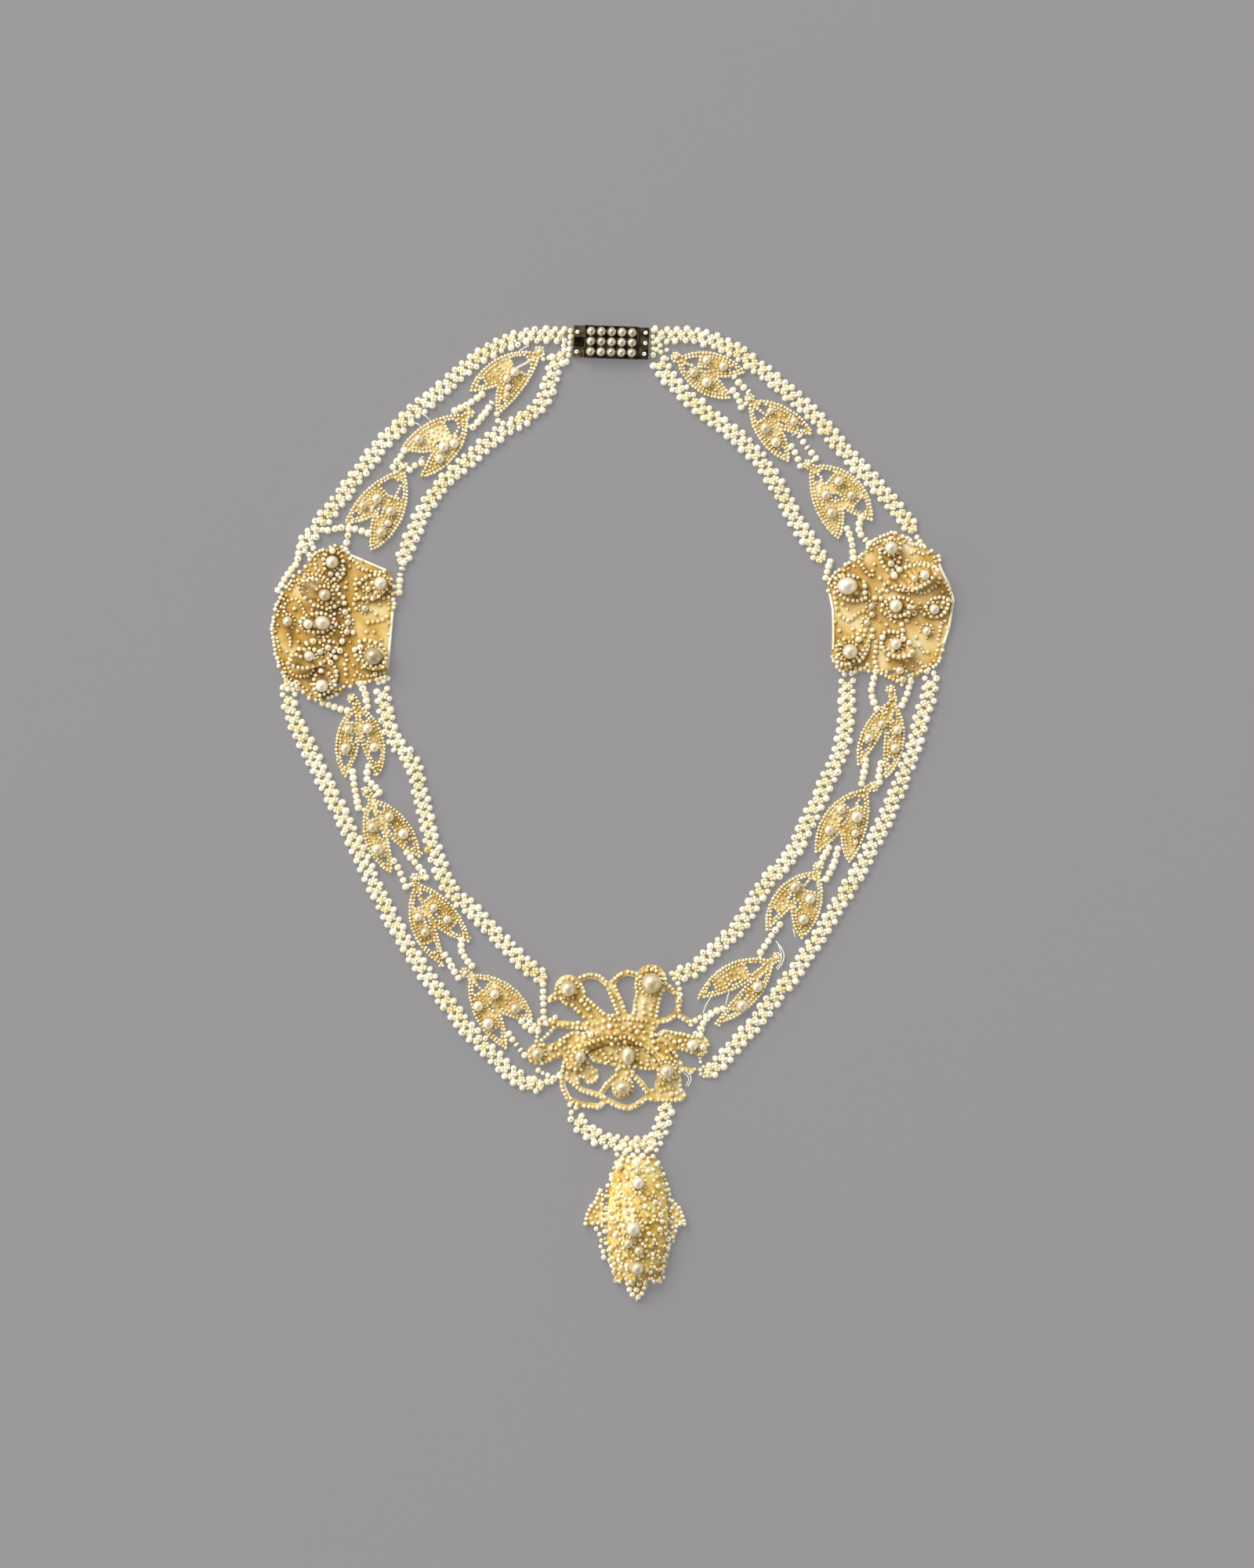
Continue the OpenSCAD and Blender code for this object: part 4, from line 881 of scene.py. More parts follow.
def strew(cover, name, spacing, d, tints):
    """Sews loose beads over a plate, each some way from the next."""
    low, high = (Vector(corner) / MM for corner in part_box(name))
    tries = int((high.x - low.x) * (high.y - low.y) / spacing ** 2 * TRIES)
    for _ in range(tries):
        x, y = rng.uniform(low.x, high.x), rng.uniform(low.y, high.y)
        under = top_of(x, y)
        if under is None or not all((top_of(x + FOOTING, y), top_of(x - FOOTING, y),
                                     top_of(x, y + FOOTING), top_of(x, y - FOOTING))):
            continue
        if not cover.crowded(x, y, under + d / 2, spacing, 1.0):
            cover.put(x, y, d * rng.uniform(0.8, 1.2), rng.uniform(0, 3), rng.uniform(*tints))


def ring_round(cover, pearl, d, tints, share=1.0):
    """Sews a ring of beads round the foot of a big pearl."""
    x, y, _, size = pearl
    reach = size / 2 + d * RING_REACH
    count = max(5, round(2 * math.pi * reach / (d * RING_PITCH)))
    start = rng.uniform(0, 2 * math.pi)
    for k in range(round(count * share)):
        a = start + 2 * math.pi * k / count
        cover.put(x + reach * math.cos(a), y + reach * math.sin(a), d * rng.uniform(0.85, 1.1),
                  a + math.pi / 2, rng.uniform(*tints), sink=RING_SINK)


print("an edge bead of 0.7 mm has its middle", round(0.7 * EDGE_LIFT, 2), "mm above the plate")

# %% [markdown]
# The CAD frame has each big pearl in its right place, but in a few flat faces only. So a smooth
# model pearl of the same middle and size takes its place. Freshwater pearls are seldom round: each
# is turned and flattened a little, and the few drawn-out ones are listed.

# %% Set the big pearls
def centres_of(name):
    """Middle and diameter of every big pearl in a CAD node, in millimetres."""
    mesh = NODES[name].data
    owner = list(range(len(mesh.vertices)))
    seen = {}

    def root(i):
        """The vertex that stands for the whole pearl that a vertex is part of."""
        while owner[i] != i:
            owner[i] = owner[owner[i]]
            i = owner[i]
        return i

    for i, v in enumerate(mesh.vertices):
        key = tuple(round(c, 6) for c in v.co)
        owner[i] = seen.setdefault(key, i)
    for face in mesh.polygons:
        first = root(face.vertices[0])
        for i in face.vertices[1:]:
            owner[root(i)] = first
    groups = {}
    for i, v in enumerate(mesh.vertices):
        groups.setdefault(root(i), []).append(v.co)
    found = []
    for points in groups.values():
        low = [min(p[k] for p in points) / MM for k in range(3)]
        high = [max(p[k] for p in points) / MM for k in range(3)]
        found.append(tuple((a + b) / 2 for a, b in zip(low, high)) + (high[0] - low[0],))
    return found


# place, how far drawn out, heading, tint
OVALS = [(50.1, 47.5, 1.18, 0.0, 0.0), (-50.8, 33.4, 1.12, 0.0, 0.75),
         (-62.1, 39.2, 1.14, -0.2, 0.2), (-61.3, 46.2, 1.05, -0.4, 0.5),
         (2.9, -51.7, 1.3, 1.57, 0.3), (2.0, -58.5, 1.2, 0.0, 0.4), (-7.1, -52.0, 1.15, 1.57, 0.5),
         (7.9, -36.3, 1.0, 0.0, 0.45), (-9.7, -37.2, 1.0, 0.0, 0.4),
         (-16.2, -51.3, 1.05, 0.0, 0.45), (11.0, -55.4, 1.0, 0.0, 0.35)]
SAME_PEARL = 1.2  # an entry of the list means the pearl within this distance
SLOT_OF = {part["node"]: part["material_slot"] for part in frame["record"]["subparts"]}
for node in PEARL_NODES:
    in_clasp, spots = node == "clasp_pearls", []
    for x, y, z, d in centres_of(node):
        long, turn, tint = 1.0, rng.uniform(0, 3), rng.uniform(0.0, 0.4)
        for a, b, drawn, heading, shade in OVALS:
            if math.hypot(x - a, y - b) < SAME_PEARL:
                long, turn, tint = drawn, heading, shade
        flat = 1.0 if in_clasp else rng.uniform(0.94, 1.0)
        spots.append(spot(x, y, z, d * 1.01, turn, tint, flat, long))
    sew("smooth_" + node, ROUND if in_clasp else BAROQUE, spots, SLOT_OF[node], node)

# %% [markdown]
# A leaf pair gets three kinds of small pearl: pale ones along every edge, golden ones in a looser
# row inside the outline, and a ring round the foot of each big pearl. One more sits on the knob
# at its root. Two pairs have a row strung across the gap between their leaves. The golden ones
# have yellowed with age, and those by the clasp have kept paler.

# %% Sew the leaf pairs
LEAF_TOP = 0.8
LEAF_EDGE_D, LEAF_ROW_D, LEAF_FILL_D = 0.7, 0.62, 0.6
KNOB_D, GAP_D, GAP_STEP = 1.15, 0.75, 0.7
KNOBS = [(-15.7, 98.1), (-30.6, 84.9), (-44.6, 73.5), (13.3, 96.8), (29, 88), (41.5, 74),
         (-55.5, 24.3), (-52.5, 4.5), (-42.1, -14), (-31.5, -34), (59, 26), (55.4, 5.5),
         (43.5, -11.5), (34.8, -30.7)]
GAP_ROWS = {"left_upper": [[(-30.9, 83.6), (-33.9, 80.2)], [(-44.4, 71.1), (-46.3, 67.0)]]}
AGED = {"left_upper": 0.7, "right_upper": 0.75, "left_lower": 1.0, "right_lower": 0.85}
for quarter, aged in AGED.items():
    cover = Cover()
    pairs = sorted(n for n in NODES if n.startswith("leaf_pair_" + quarter))
    for x, y in KNOBS:
        if (x < 0) == ("left" in quarter) and (y > 40) == ("upper" in quarter):
            cover.put(x, y, KNOB_D, rng.uniform(0, 3), rng.uniform(0.2, 0.6))
    for name in pairs:
        edge_with_beads(cover, name, LEAF_TOP, LEAF_EDGE_D, (0.1 * aged, 0.7 * aged), inset=0.16)
        edge_with_beads(cover, name, LEAF_TOP, LEAF_ROW_D, (0.3 * aged, aged), inset=0.9,
                        outline=True, gapped=1.25)
    for pearl in centres_of("leaf_pearls_" + quarter):
        ring_round(cover, pearl, LEAF_FILL_D, (0.3 * aged, aged))
    for name in pairs:
        strew(cover, name, spacing=0.95, d=LEAF_FILL_D, tints=(0.2 * aged, aged))
    for route in GAP_ROWS.get(quarter, ()):
        for x, y, turn in stations(route, GAP_STEP):
            cover.put(x, y, GAP_D, turn, 0.3, z=LEAF_TOP)
    sew("edge_pearls_" + quarter, FINE_BEAD, cover.spots, "leaf_pearls")

# %% [markdown]
# The rosettes are flowers: cupped petals sewn on a plate, each cup holding a big pearl. A few
# middle-sized pearls lie between them. Rows of small pearls outline the petals, cross the flat
# panels and ring the pearls. The rows here are listed along the rows of the real piece: a diameter,
# then the points.

# %% Rows of the left rosette
LEFT_ROSETTE_ROWS = [
    (0.75, [(-66.7, 47.2), (-66.6, 48.3), (-66, 49.6), (-65, 50.4), (-63.8, 50.7), (-62.2, 50.3),
        (-60.9, 49.5), (-59.3, 48.8), (-58.2, 47.6)]),
    (0.6, [(-66.2, 46.5), (-65.7, 49.1), (-64.4, 49.9), (-62.9, 50), (-61.3, 49.1),
        (-60.2, 48.3)]),
    (1.1, [(-57.7, 46.3), (-57.2, 44.8), (-56.7, 43.1), (-56.3, 41.8), (-56.3, 40.1)]),
    (0.75, [(-63.3, 47), (-62.6, 47.9), (-61.1, 48.1), (-59.9, 47.4), (-59.4, 45.9), (-60, 44.5),
        (-61.3, 44.3)]),
    (0.75, [(-64.6, 45.2), (-63.6, 44.1), (-62.2, 43.7), (-61.2, 43.3), (-60, 42.8),
        (-58.9, 41.9)]),
    (0.7, [(-70, 42.3), (-69.8, 44.1), (-68.7, 45.2), (-67.1, 45.2), (-66, 43.4), (-65.6, 42.3),
        (-64.8, 41.6)]),
    (0.8, [(-59.9, 40.8), (-59.1, 39.4), (-59.8, 38.1), (-61.3, 37.2), (-62.7, 37.5),
        (-63.8, 38.1)]),
    (0.9, [(-66, 34.3), (-65, 34.8), (-64, 34.7), (-63.2, 34.6), (-62.2, 34.7), (-61.3, 35.2),
        (-60, 35.4)]),
    (0.9, [(-65.7, 35.8), (-64.4, 36.3), (-63.6, 36.8), (-62.7, 36), (-61.8, 36.3)]),
    (0.8, [(-68.9, 31.2), (-68.8, 32.5), (-67.8, 33.5), (-65.8, 32.9), (-64.4, 33),
        (-63.2, 32.6)]),
    (1.35, [(-62.4, 31.5), (-60.6, 31.5), (-59.5, 32.4), (-58.6, 33.6), (-57.6, 35.2),
        (-57, 36.5)]),
    (0.7, [(-69.1, 31), (-68.6, 29.9), (-67.3, 29), (-65.9, 28.9), (-64.6, 29.2), (-63.6, 30.3),
        (-63.8, 31.4)]),
    (0.85, [(-56.9, 34), (-56.6, 32.5), (-57.1, 31.4), (-56.9, 30.3), (-56.9, 28.8)]),
    (0.9, [(-54.4, 36.1), (-53.2, 36.6), (-51.7, 36.4), (-50.2, 35.9), (-48.9, 35.3)]),
    (0.85, [(-52.7, 40.3), (-51.1, 40.5), (-50, 40.6), (-48.7, 41.2), (-47.7, 42.1)]),
    (1, [(-57.4, 38.6), (-56.2, 38.3), (-54.5, 38.3)]),
    (0.85, [(-52.1, 44.1), (-52.3, 45.5), (-51.8, 47.6), (-50.8, 49.2)]),
    (0.9, [(-54.4, 50), (-54.8, 49.1), (-54.7, 48), (-54.5, 46.8), (-54.8, 45.4), (-55.1, 44.3),
        (-54.4, 42.9)]),
    (0.85, [(-56.9, 49.4), (-56.7, 48.5), (-57, 47.2)]),
    (0.8, [(-56.4, 54.3), (-54.7, 53.2), (-53.8, 51.9), (-52, 51.4), (-50, 51), (-48.2, 51.2)]),
    (0.85, [(-54.8, 34.6), (-53.6, 35.2), (-53.7, 33.5), (-53.2, 32.3), (-52.1, 31.6), (-50.7, 31),
        (-49.2, 31.3), (-48.2, 32.5), (-48.3, 34.1), (-48.9, 35.1)]),
    (0.8, [(-50.9, 49.2), (-50.8, 47.6), (-50.1, 46.3), (-48.9, 45.6), (-47.6, 45.9),
        (-46.6, 46.8)]),
    (0.8, [(-61.6, 53.4), (-61, 54.8), (-59.3, 55.5), (-57.8, 54.5), (-57.4, 53.2), (-57.8, 51.8),
        (-58.9, 50.5), (-59.9, 50.7)]),
    (0.8, [(-60.7, 29.8), (-59.7, 28.8), (-59.1, 27.2), (-58.8, 26.1), (-57.7, 26.3),
        (-56.9, 27)]),
    (0.75, [(-55.2, 28.8), (-54.2, 29.9), (-53.1, 28.8), (-50.4, 29.6), (-50.3, 28.5)]),
    (0.7, [(-69.3, 38.1), (-68.8, 37.2), (-68.6, 36.3), (-68.7, 35.2)]),
    (0.7, [(-63.3, 53.2), (-63.1, 51.9), (-61.8, 51), (-60.4, 49.4)]),
    (0.8, [(-58.7, 45), (-58, 44.3), (-57.3, 43.4), (-55.6, 43)]),
    (0.8, [(-59.3, 40.3), (-58, 39.4), (-56.9, 39.9)]),
]
print("rows of the left rosette:", len(LEFT_ROSETTE_ROWS))

# %% Rows of the right rosette
RIGHT_ROSETTE_ROWS = [
    (0.75, [(58.9, 47.6), (59.8, 48.1), (60.6, 48.2), (61.4, 48.1), (62.4, 47.8), (63.4, 47.2),
        (64.6, 46.9), (65.6, 46.6), (66.6, 46.9), (67.6, 47.6), (68.6, 48.2), (69.2, 49.1),
        (69.4, 50.2)]),
    (0.7, [(62.1, 52.4), (62.6, 53.8), (63.8, 53.2), (65.6, 53.2), (67.2, 52.9), (68.8, 52.1)]),
    (0.7, [(62.9, 54.8), (63.9, 55.4), (65.1, 55.1), (66.2, 54.8)]),
    (0.75, [(56.6, 43.1), (57.4, 42.6), (58.1, 41.9), (59.1, 41.1), (60.1, 40.4), (61.1, 40.1)]),
    (1, [(62.6, 45.1), (63.4, 44.2), (63.8, 43.2), (63.8, 42.1), (62.6, 41.9), (62.4, 40.9),
        (61.6, 40.1), (61.1, 39.1), (61.6, 38.1)]),
    (0.95, [(56.6, 35.6), (57.1, 34.8), (58.1, 33.9), (59.1, 33.4), (60.1, 33.1), (61.2, 33.1),
        (62.4, 33.1), (63.2, 33.8), (63.8, 34.8), (63.6, 35.6), (62.8, 36.2), (61.6, 36.9)]),
    (0.8, [(56.2, 35.1), (57.6, 34.2), (58.6, 34.6), (59.9, 34.1)]),
    (1.2, [(55.7, 46.1), (55.4, 45.0)]),
    (1.25, [(55.1, 39.6), (54.9, 36.6)]),
    (0.95, [(55.4, 37.9), (55.8, 36.4), (55.8, 35.1), (55.6, 33.8), (55.4, 32.6), (55.8, 31.4)]),
    (1.1, [(56.2, 45.6), (57.6, 45.4)]),
    (0.9, [(52.6, 48.8), (53.6, 48.9), (53.1, 47.6), (52.2, 46.6)]),
    (0.85, [(47.4, 48.4), (47.1, 46.9), (47.2, 45.4), (47.6, 42.8)]),
    (0.85, [(47.8, 42.2), (48.4, 41.8), (49.4, 41.1), (50.2, 40.9), (51.1, 41.6), (51.8, 42.1),
        (52.6, 42.6), (53.6, 42.9)]),
    (0.8, [(50.4, 37.2), (51.6, 37.6), (52.2, 38.4), (53.1, 38.8), (54.1, 38.4)]),
    (0.8, [(53.9, 35.8), (53.4, 34.9), (52.6, 33.8), (51.6, 32.8), (50.6, 31.9), (49.6, 31.4)]),
    (0.9, [(49.2, 30.2), (50.2, 30.9), (51.6, 30.8), (53.2, 30.6), (54.4, 31.9)]),
    (0.8, [(55.8, 31.4), (56.6, 29.9), (57.6, 29.2), (58.6, 28.8), (59.8, 28.2), (60.8, 27.8),
        (61.6, 27.2)]),
    (0.8, [(61.2, 31.1), (62.1, 30.1), (62.9, 29.1), (63.8, 29.4), (65.1, 29.8), (65.8, 31.1),
        (64.9, 32.2)]),
    (0.8, [(67.2, 34.1), (65.9, 34.1), (65.4, 35.2), (64.6, 35.6)]),
    (0.8, [(66.2, 36.9), (67.1, 38.2), (66.9, 39.1), (67.9, 39.9)]),
    (0.8, [(70.1, 45.1), (69.9, 43.8), (68.9, 42.8), (68.1, 41.9), (67.1, 41.4)]),
    (0.75, [(65.1, 44.8), (65.2, 43.4), (65.9, 42.2), (67.2, 42.4), (67.9, 43.4), (67.9, 44.8),
        (67.2, 45.6)]),
    (0.8, [(57.4, 57.6), (57.4, 55.9), (58.1, 54.9), (59.1, 54.6), (60.2, 55.1), (60.9, 56.2),
        (60.9, 57.6)]),
    (0.8, [(57.9, 53.1), (58.9, 53.4), (59.8, 52.9)]),
    (0.8, [(50.9, 53.9), (52.2, 53.2), (53.1, 52.1), (53.9, 50.9), (55.1, 50.2), (55.1, 51.8)]),
    (0.9, [(56.2, 49.6), (57.2, 49.8), (57.6, 48.4), (58.9, 49.2)]),
    (1.1, [(59.8, 50.6), (60.8, 51.8), (62.2, 52.1)]),
    (0.9, [(48.4, 49.9), (49.1, 50.2), (50.6, 50.4)]),
    (0.8, [(55.6, 47.8), (56.4, 46.9), (57.6, 47.4), (58.6, 46.8)]),
    (0.8, [(48.6, 32.2), (47.9, 33.4), (47.4, 34.6), (47.6, 35.8), (48.4, 36.6), (49.4, 36.9)]),
    (0.75, [(68.8, 50.2), (70.2, 49.1), (71.2, 47.8), (71.8, 46.1)]),
    (0.8, [(64.2, 32.4), (65.2, 31.8), (66.2, 31.8)]),
    (0.75, [(54.6, 57.8), (55.9, 56.6), (56.8, 55.4)]),
    (0.7, [(70.8, 41.1), (69.6, 39.9), (69.4, 38.4), (68.9, 36.4)]),
]
print("rows of the right rosette:", len(RIGHT_ROSETTE_ROWS))

# %% Rows round the petals
MIDDLE_SIZED = {
    "left": [
        (-59.6, 55.6, 1.6), (-58.6, 50.6, 1.2), (-63.7, 36.4, 1.4), (-62.1, 30.1, 1.3),
        (-54.9, 34.6, 1.4), (-53.7, 35.1, 1.5), (-57.6, 36.4, 1.5), (-56.3, 41.6, 1.1),
        (-50.6, 29.4, 1.2)],
    "right": [
        (59.7, 50.4, 1.8), (60.8, 51.6, 1.5), (53.4, 48.1, 1.3), (53.4, 46.7, 1.3),
        (52.1, 36.8, 1.6), (57.2, 37.2, 1.5), (61.6, 36.8, 1.4), (62.8, 36.1, 1.2),
        (63.9, 42.4, 1.4), (62.9, 43.7, 1.3), (61.3, 40.0, 1.2), (61.5, 38.7, 1.2)],
}
PETALS = {  # root, tip and width of each petal
    "left": [
        ((-57.2, 44.5), (-67, 48.4), 6.2), ((-58.4, 40.6), (-67, 40), 4.6),
        ((-58.2, 36), (-69.2, 31.2), 5.6), ((-58.5, 49), (-60, 56.2), 4.8),
        ((-55, 46), (-47.6, 49.8), 5.4), ((-55, 36.4), (-48.2, 31), 6.2),
        ((-59.4, 32), (-63, 24.6), 5)],
    "right": [
        ((57.5, 48.2), (69.2, 51.6), 5.6), ((56.4, 43.4), (64.5, 44), 4.6),
        ((56.6, 38), (63.4, 33.4), 5.6), ((58.8, 50.8), (58.8, 58.6), 4.8),
        ((54.6, 46), (46.6, 49.4), 5.6), ((54.4, 37.6), (47.2, 31.6), 6),
        ((66, 41.8), (71.4, 45.4), 4.4)],
}
ROW_EASE = 1.15  # the listed diameters were measured inside the beads' dark outlines
ROW_PITCH, ROW_NUDGE = 1.06, 0.06
PETAL_ROW_D, PETAL_INSET, PETAL_SHARE = 0.8, 0.3, 0.9


def lay_rows(cover, rows, tints):
    """Sews rows of touching beads along listed lines, on whatever lies under them."""
    for d, route in rows:
        for x, y, turn in stations(route, d * ROW_EASE * ROW_PITCH):
            size = d * ROW_EASE * rng.uniform(0.85, 1.12)
            x, y = x + rng.uniform(-ROW_NUDGE, ROW_NUDGE), y + rng.uniform(-ROW_NUDGE, ROW_NUDGE)
            cover.put(x, y, size, turn, rng.uniform(*tints), flat=rng.uniform(0.85, 1.0))


def petal_rim(root, tip, width):
    """Points along a petal's rim, from its root round its tip, a little inside the edge."""
    root, tip, half = Vector(root), Vector(tip), width / 2
    along, reach = tip - root, (tip - root).length / 2
    side = Vector((-along.y, along.x)).normalized()
    radius = (reach * reach + half * half) / (2 * half)
    span = math.asin(reach / radius) * PETAL_SHARE
    line = []
    for sign in (1, -1):
        centre = (root + tip) / 2 - sign * side * (radius - half)
        steps = [sign * span * k / 6 for k in range(-6, 7)]
        line += [centre + (radius - PETAL_INSET) * (sign * side * math.cos(a)
                 + along.normalized() * math.sin(a)) for a in steps]
    return [(p.x, p.y) for p in line]


print("rim points of a petal:", len(petal_rim(*PETALS["left"][0])))

# %% Sew the rosettes
PLATE_TOP = 1.0
BARE_EDGE = {  # where a plate's edge carries no pearls
    "left": lambda x, y: (x > -48.2 and 30 < y < 43) or (x > -56 and y > 51 + (-48 - x) * 0.4),
    "right": lambda x, y: (x < 47.6 and 34 < y < 47) or (x > 67.5 and 35.3 < y < 53),
}
for side, rows in (("left", LEFT_ROSETTE_ROWS), ("right", RIGHT_ROSETTE_ROWS)):
    cover = Cover()
    plate, bare = f"rosette_{side}_plate", BARE_EDGE[side]
    for x, y, d in MIDDLE_SIZED[side]:
        cover.put(x, y, d, rng.uniform(0, 3), rng.uniform(0.0, 0.35))
    lay_rows(cover, rows, (0.1, 0.8))
    for petal in PETALS[side]:
        lay_rows(cover, [(PETAL_ROW_D, petal_rim(*petal))], (0.0, 0.5))
    edge_with_beads(cover, plate, PLATE_TOP, 0.95, (0.0, 0.3), inset=0.0, outline=True,
                    gapped=0.92, bare=bare, loose=0.14)
    edge_with_beads(cover, plate, PLATE_TOP, 0.75, (0.2, 0.9), inset=0.85, outline=True,
                    gapped=1.35, bare=bare, loose=0.3)
    for pearl in centres_of(f"rosette_{side}_pearls"):
        ring_round(cover, pearl, 0.72, (0.2, 0.9), share=0.6)
    strew(cover, plate, spacing=2.0, d=0.8, tints=(0.1, 0.9))
    sew(f"flower_pearls_{side}", FINE_BEAD, cover.spots, "ornament_pearls")

# %% [markdown]
# Where a rosette's plate has no edge pearls, its sawn edge was left in the open and polished, and
# it catches the light as a thin white line. That round edge is a tube along the CAD rim, and its
# nearly white colour is a painted highlight. The same two helpers, a soft tube and a joiner, lay
# the horsehair later.

# %% Round the bare rims
def soft_tube(points, d):
    """One soft tube through a few points, as a mesh."""
    curve = bpy.data.curves.new("soft_tube", "CURVE")
    curve.dimensions = "3D"
    curve.bevel_depth = d / 2 * MM
    curve.bevel_resolution = 1
    curve.resolution_u = 5
    curve.use_fill_caps = True
    line = curve.splines.new("BEZIER")
    line.bezier_points.add(len(points) - 1)
    for knot, (x, y, z) in zip(line.bezier_points, points):
        knot.co = (x * MM, y * MM, z * MM)
        knot.handle_left_type = knot.handle_right_type = "AUTO"
    piece = bpy.data.objects.new("soft_tube", curve)
    bpy.context.scene.collection.objects.link(piece)
    only(piece)
    bpy.ops.object.convert(target="MESH")
    bpy.ops.object.shade_smooth()
    return bpy.context.active_object


def join_as(name, parts, finish):
    """Joins finished parts into one named piece and ties it into the frame."""
    bpy.ops.object.select_all(action="DESELECT")
    for part in parts:
        part.select_set(True)
    bpy.context.view_layer.objects.active = parts[0]
    bpy.ops.object.join()
    piece = bpy.context.active_object
    piece.name = name
    piece.data.materials.clear()
    piece.data.materials.append(finish)
    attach(piece, "root")
    print(name, len(piece.data.polygons), "faces")


TUBE_D, TUBE_STEP, TUBE_INSET, TUBE_LIFT = 0.6, 1.2, 0.22, 0.05
RUN_GAP = 2.5  # a longer leap between two stations starts a new tube
for side, bare in BARE_EDGE.items():
    runs, last = [], None
    for loop in rim_loops(f"rosette_{side}_plate", PLATE_TOP):
        for station in round_the(loop, TUBE_STEP):
            if turns_left(loop) and bare(station[0], station[1]):
                x, y = beside(station, 0, TUBE_INSET)
                if last is None or math.hypot(x - last[0], y - last[1]) > RUN_GAP:
                    runs.append([])
                runs[-1].append((x, y, PLATE_TOP + TUBE_LIFT))
                last = (x, y)
    # the tubes' nearly white finish is a painted highlight
    join_as(f"polished_rim_{side}", [soft_tube(run, TUBE_D) for run in runs if len(run) > 1],
            EDGE_HIGHLIGHT_NACRE)

# %% [markdown]
# The centre ornament is a lace of narrow nacre strips. Small pearls run along both edges of each
# strip, and rows of larger ones crown the arch and the flower cups.

# %% Rows of the centre ornament
CENTRE_ROWS = [
    (1.25, [(-8.2, -48.8), (-6.4, -47.8), (-4.9, -47.2), (-3.2, -46.8), (-1.8, -45.8),
        (0.2, -45.4), (2.4, -45.8), (3.9, -46.2), (5.8, -46.8)]),
    (1.2, [(7.4, -46.9), (8.9, -47.9), (10.4, -48.9)]),
    (0.9, [(11.9, -50.1), (12.9, -50.9), (13.6, -52.2)]),
    (0.8, [(-7.4, -49.6), (-5.9, -49.4), (-4.2, -48.6), (-2.4, -48.1), (-0.9, -47.6), (0.8, -48.1),
        (2.4, -47.6), (4.1, -48.1), (5.1, -49.1), (6.4, -49.2)]),
    (0.8, [(7.4, -50.4), (7.6, -51.8), (7.2, -53.2), (7.8, -54.6), (8.2, -55.8)]),
    (0.75, [(-9.8, -51.1), (-9.9, -52.2), (-9.8, -53.4), (-8.6, -54.2), (-7.6, -54.6)]),
    (0.75, [(-8.2, -51.4), (-7.4, -50.6), (-6.2, -50.6), (-5.2, -51.4), (-5.1, -52.6),
        (-5.8, -53.4)]),
    (0.7, [(-7.1, -54.9), (-6.2, -53.8), (-4.9, -54.2), (-3.6, -53.9), (-2.6, -53.4),
        (-2.8, -52.4)]),
    (0.7, [(-6.6, -55.9), (-5.8, -56.6), (-5.1, -55.8), (-4.2, -55.2), (-3.2, -54.6)]),
    (0.85, [(-3.9, -51.4), (-2.6, -50.6), (-1.8, -51.8), (-0.8, -52.9), (0.1, -52.1),
        (1.1, -52.6)]),
    (0.95, [(0.8, -53.8), (1.6, -54.2), (2.4, -53.9), (4.2, -53.8), (5.2, -54.6), (3.8, -55.2),
        (2.4, -55.4)]),
    (0.8, [(0.9, -50.4), (0.6, -51.6), (1.4, -52.8)]),
    (0.8, [(4.9, -50.2), (5.2, -51.4), (4.9, -52.6)]),
    (0.75, [(9.4, -53.9), (9.6, -52.8), (10.8, -52.2), (11.9, -52.2), (13.1, -52.9),
        (13.6, -54.1)]),
    (0.75, [(9.8, -55.9), (10.9, -56.6), (12.2, -56.4), (13.4, -55.4), (13.9, -56.4)]),
    (0.9, [(-13.9, -50.1), (-12.2, -50.1), (-11.1, -49.1), (-9.8, -48.4)]),
    (0.9, [(-14.8, -53.2), (-13.8, -52.6), (-12.4, -51.8), (-11.1, -51.1)]),
    (0.75, [(-17.6, -51.4), (-17.6, -52.6), (-16.4, -53.1), (-15.2, -52.2)]),
    (0.9, [(13.8, -48.2), (14.8, -49.4), (13.9, -50.2), (15.1, -50.8)]),
    (0.8, [(12.6, -48.2), (11.2, -47.6), (9.9, -46.9)]),
    (0.8, [(18.4, -50.1), (19.8, -50.1), (20.1, -48.9)]),
    (1, [(-7.2, -39.6), (-5.9, -40.8), (-5.1, -42.2)]),
    (0.9, [(-9.1, -40.6), (-8.1, -41.6), (-6.9, -42.6)]),
    (0.8, [(-11.4, -38.6), (-11.1, -35.9), (-9.8, -35.1), (-8.2, -35.6)]),
    (0.9, [(6.8, -39.6), (6.4, -41.2), (6.6, -43.2)]),
    (0.8, [(4.2, -37.6), (4.9, -39.2), (4.2, -41.1), (4.9, -42.4)]),
    (0.8, [(8.8, -39.6), (8.4, -41.1), (7.6, -42.2)]),
    (0.8, [(5.8, -36.4), (5.9, -34.4), (7.4, -33.4), (9.1, -33.6), (10.1, -34.9), (10.4, -36.8)]),
    (0.85, [(-13.2, -44.4), (-11.4, -45.1), (-8.6, -44.9), (-6.6, -44.4), (-4.6, -45.1),
        (-2.8, -44.9)]),
    (0.8, [(-1.2, -43.8), (0.8, -44.1), (2.8, -43.8), (5.4, -44.1), (7.6, -44.4)]),
    (0.8, [(11.1, -57.6), (9.4, -57.9), (10.4, -59.1), (11.8, -58.4), (13.2, -58.9)]),
    (0.75, [(0.1, -57.4), (0.1, -58.6), (0.9, -59.6), (2.2, -59.9), (3.4, -59.4), (4.1, -58.2),
        (3.9, -56.9)]),
    (0.8, [(-7.9, -57.4), (-6.6, -57.4), (-5.9, -58.6)]),
]
print("rows of the centre:", len(CENTRE_ROWS))

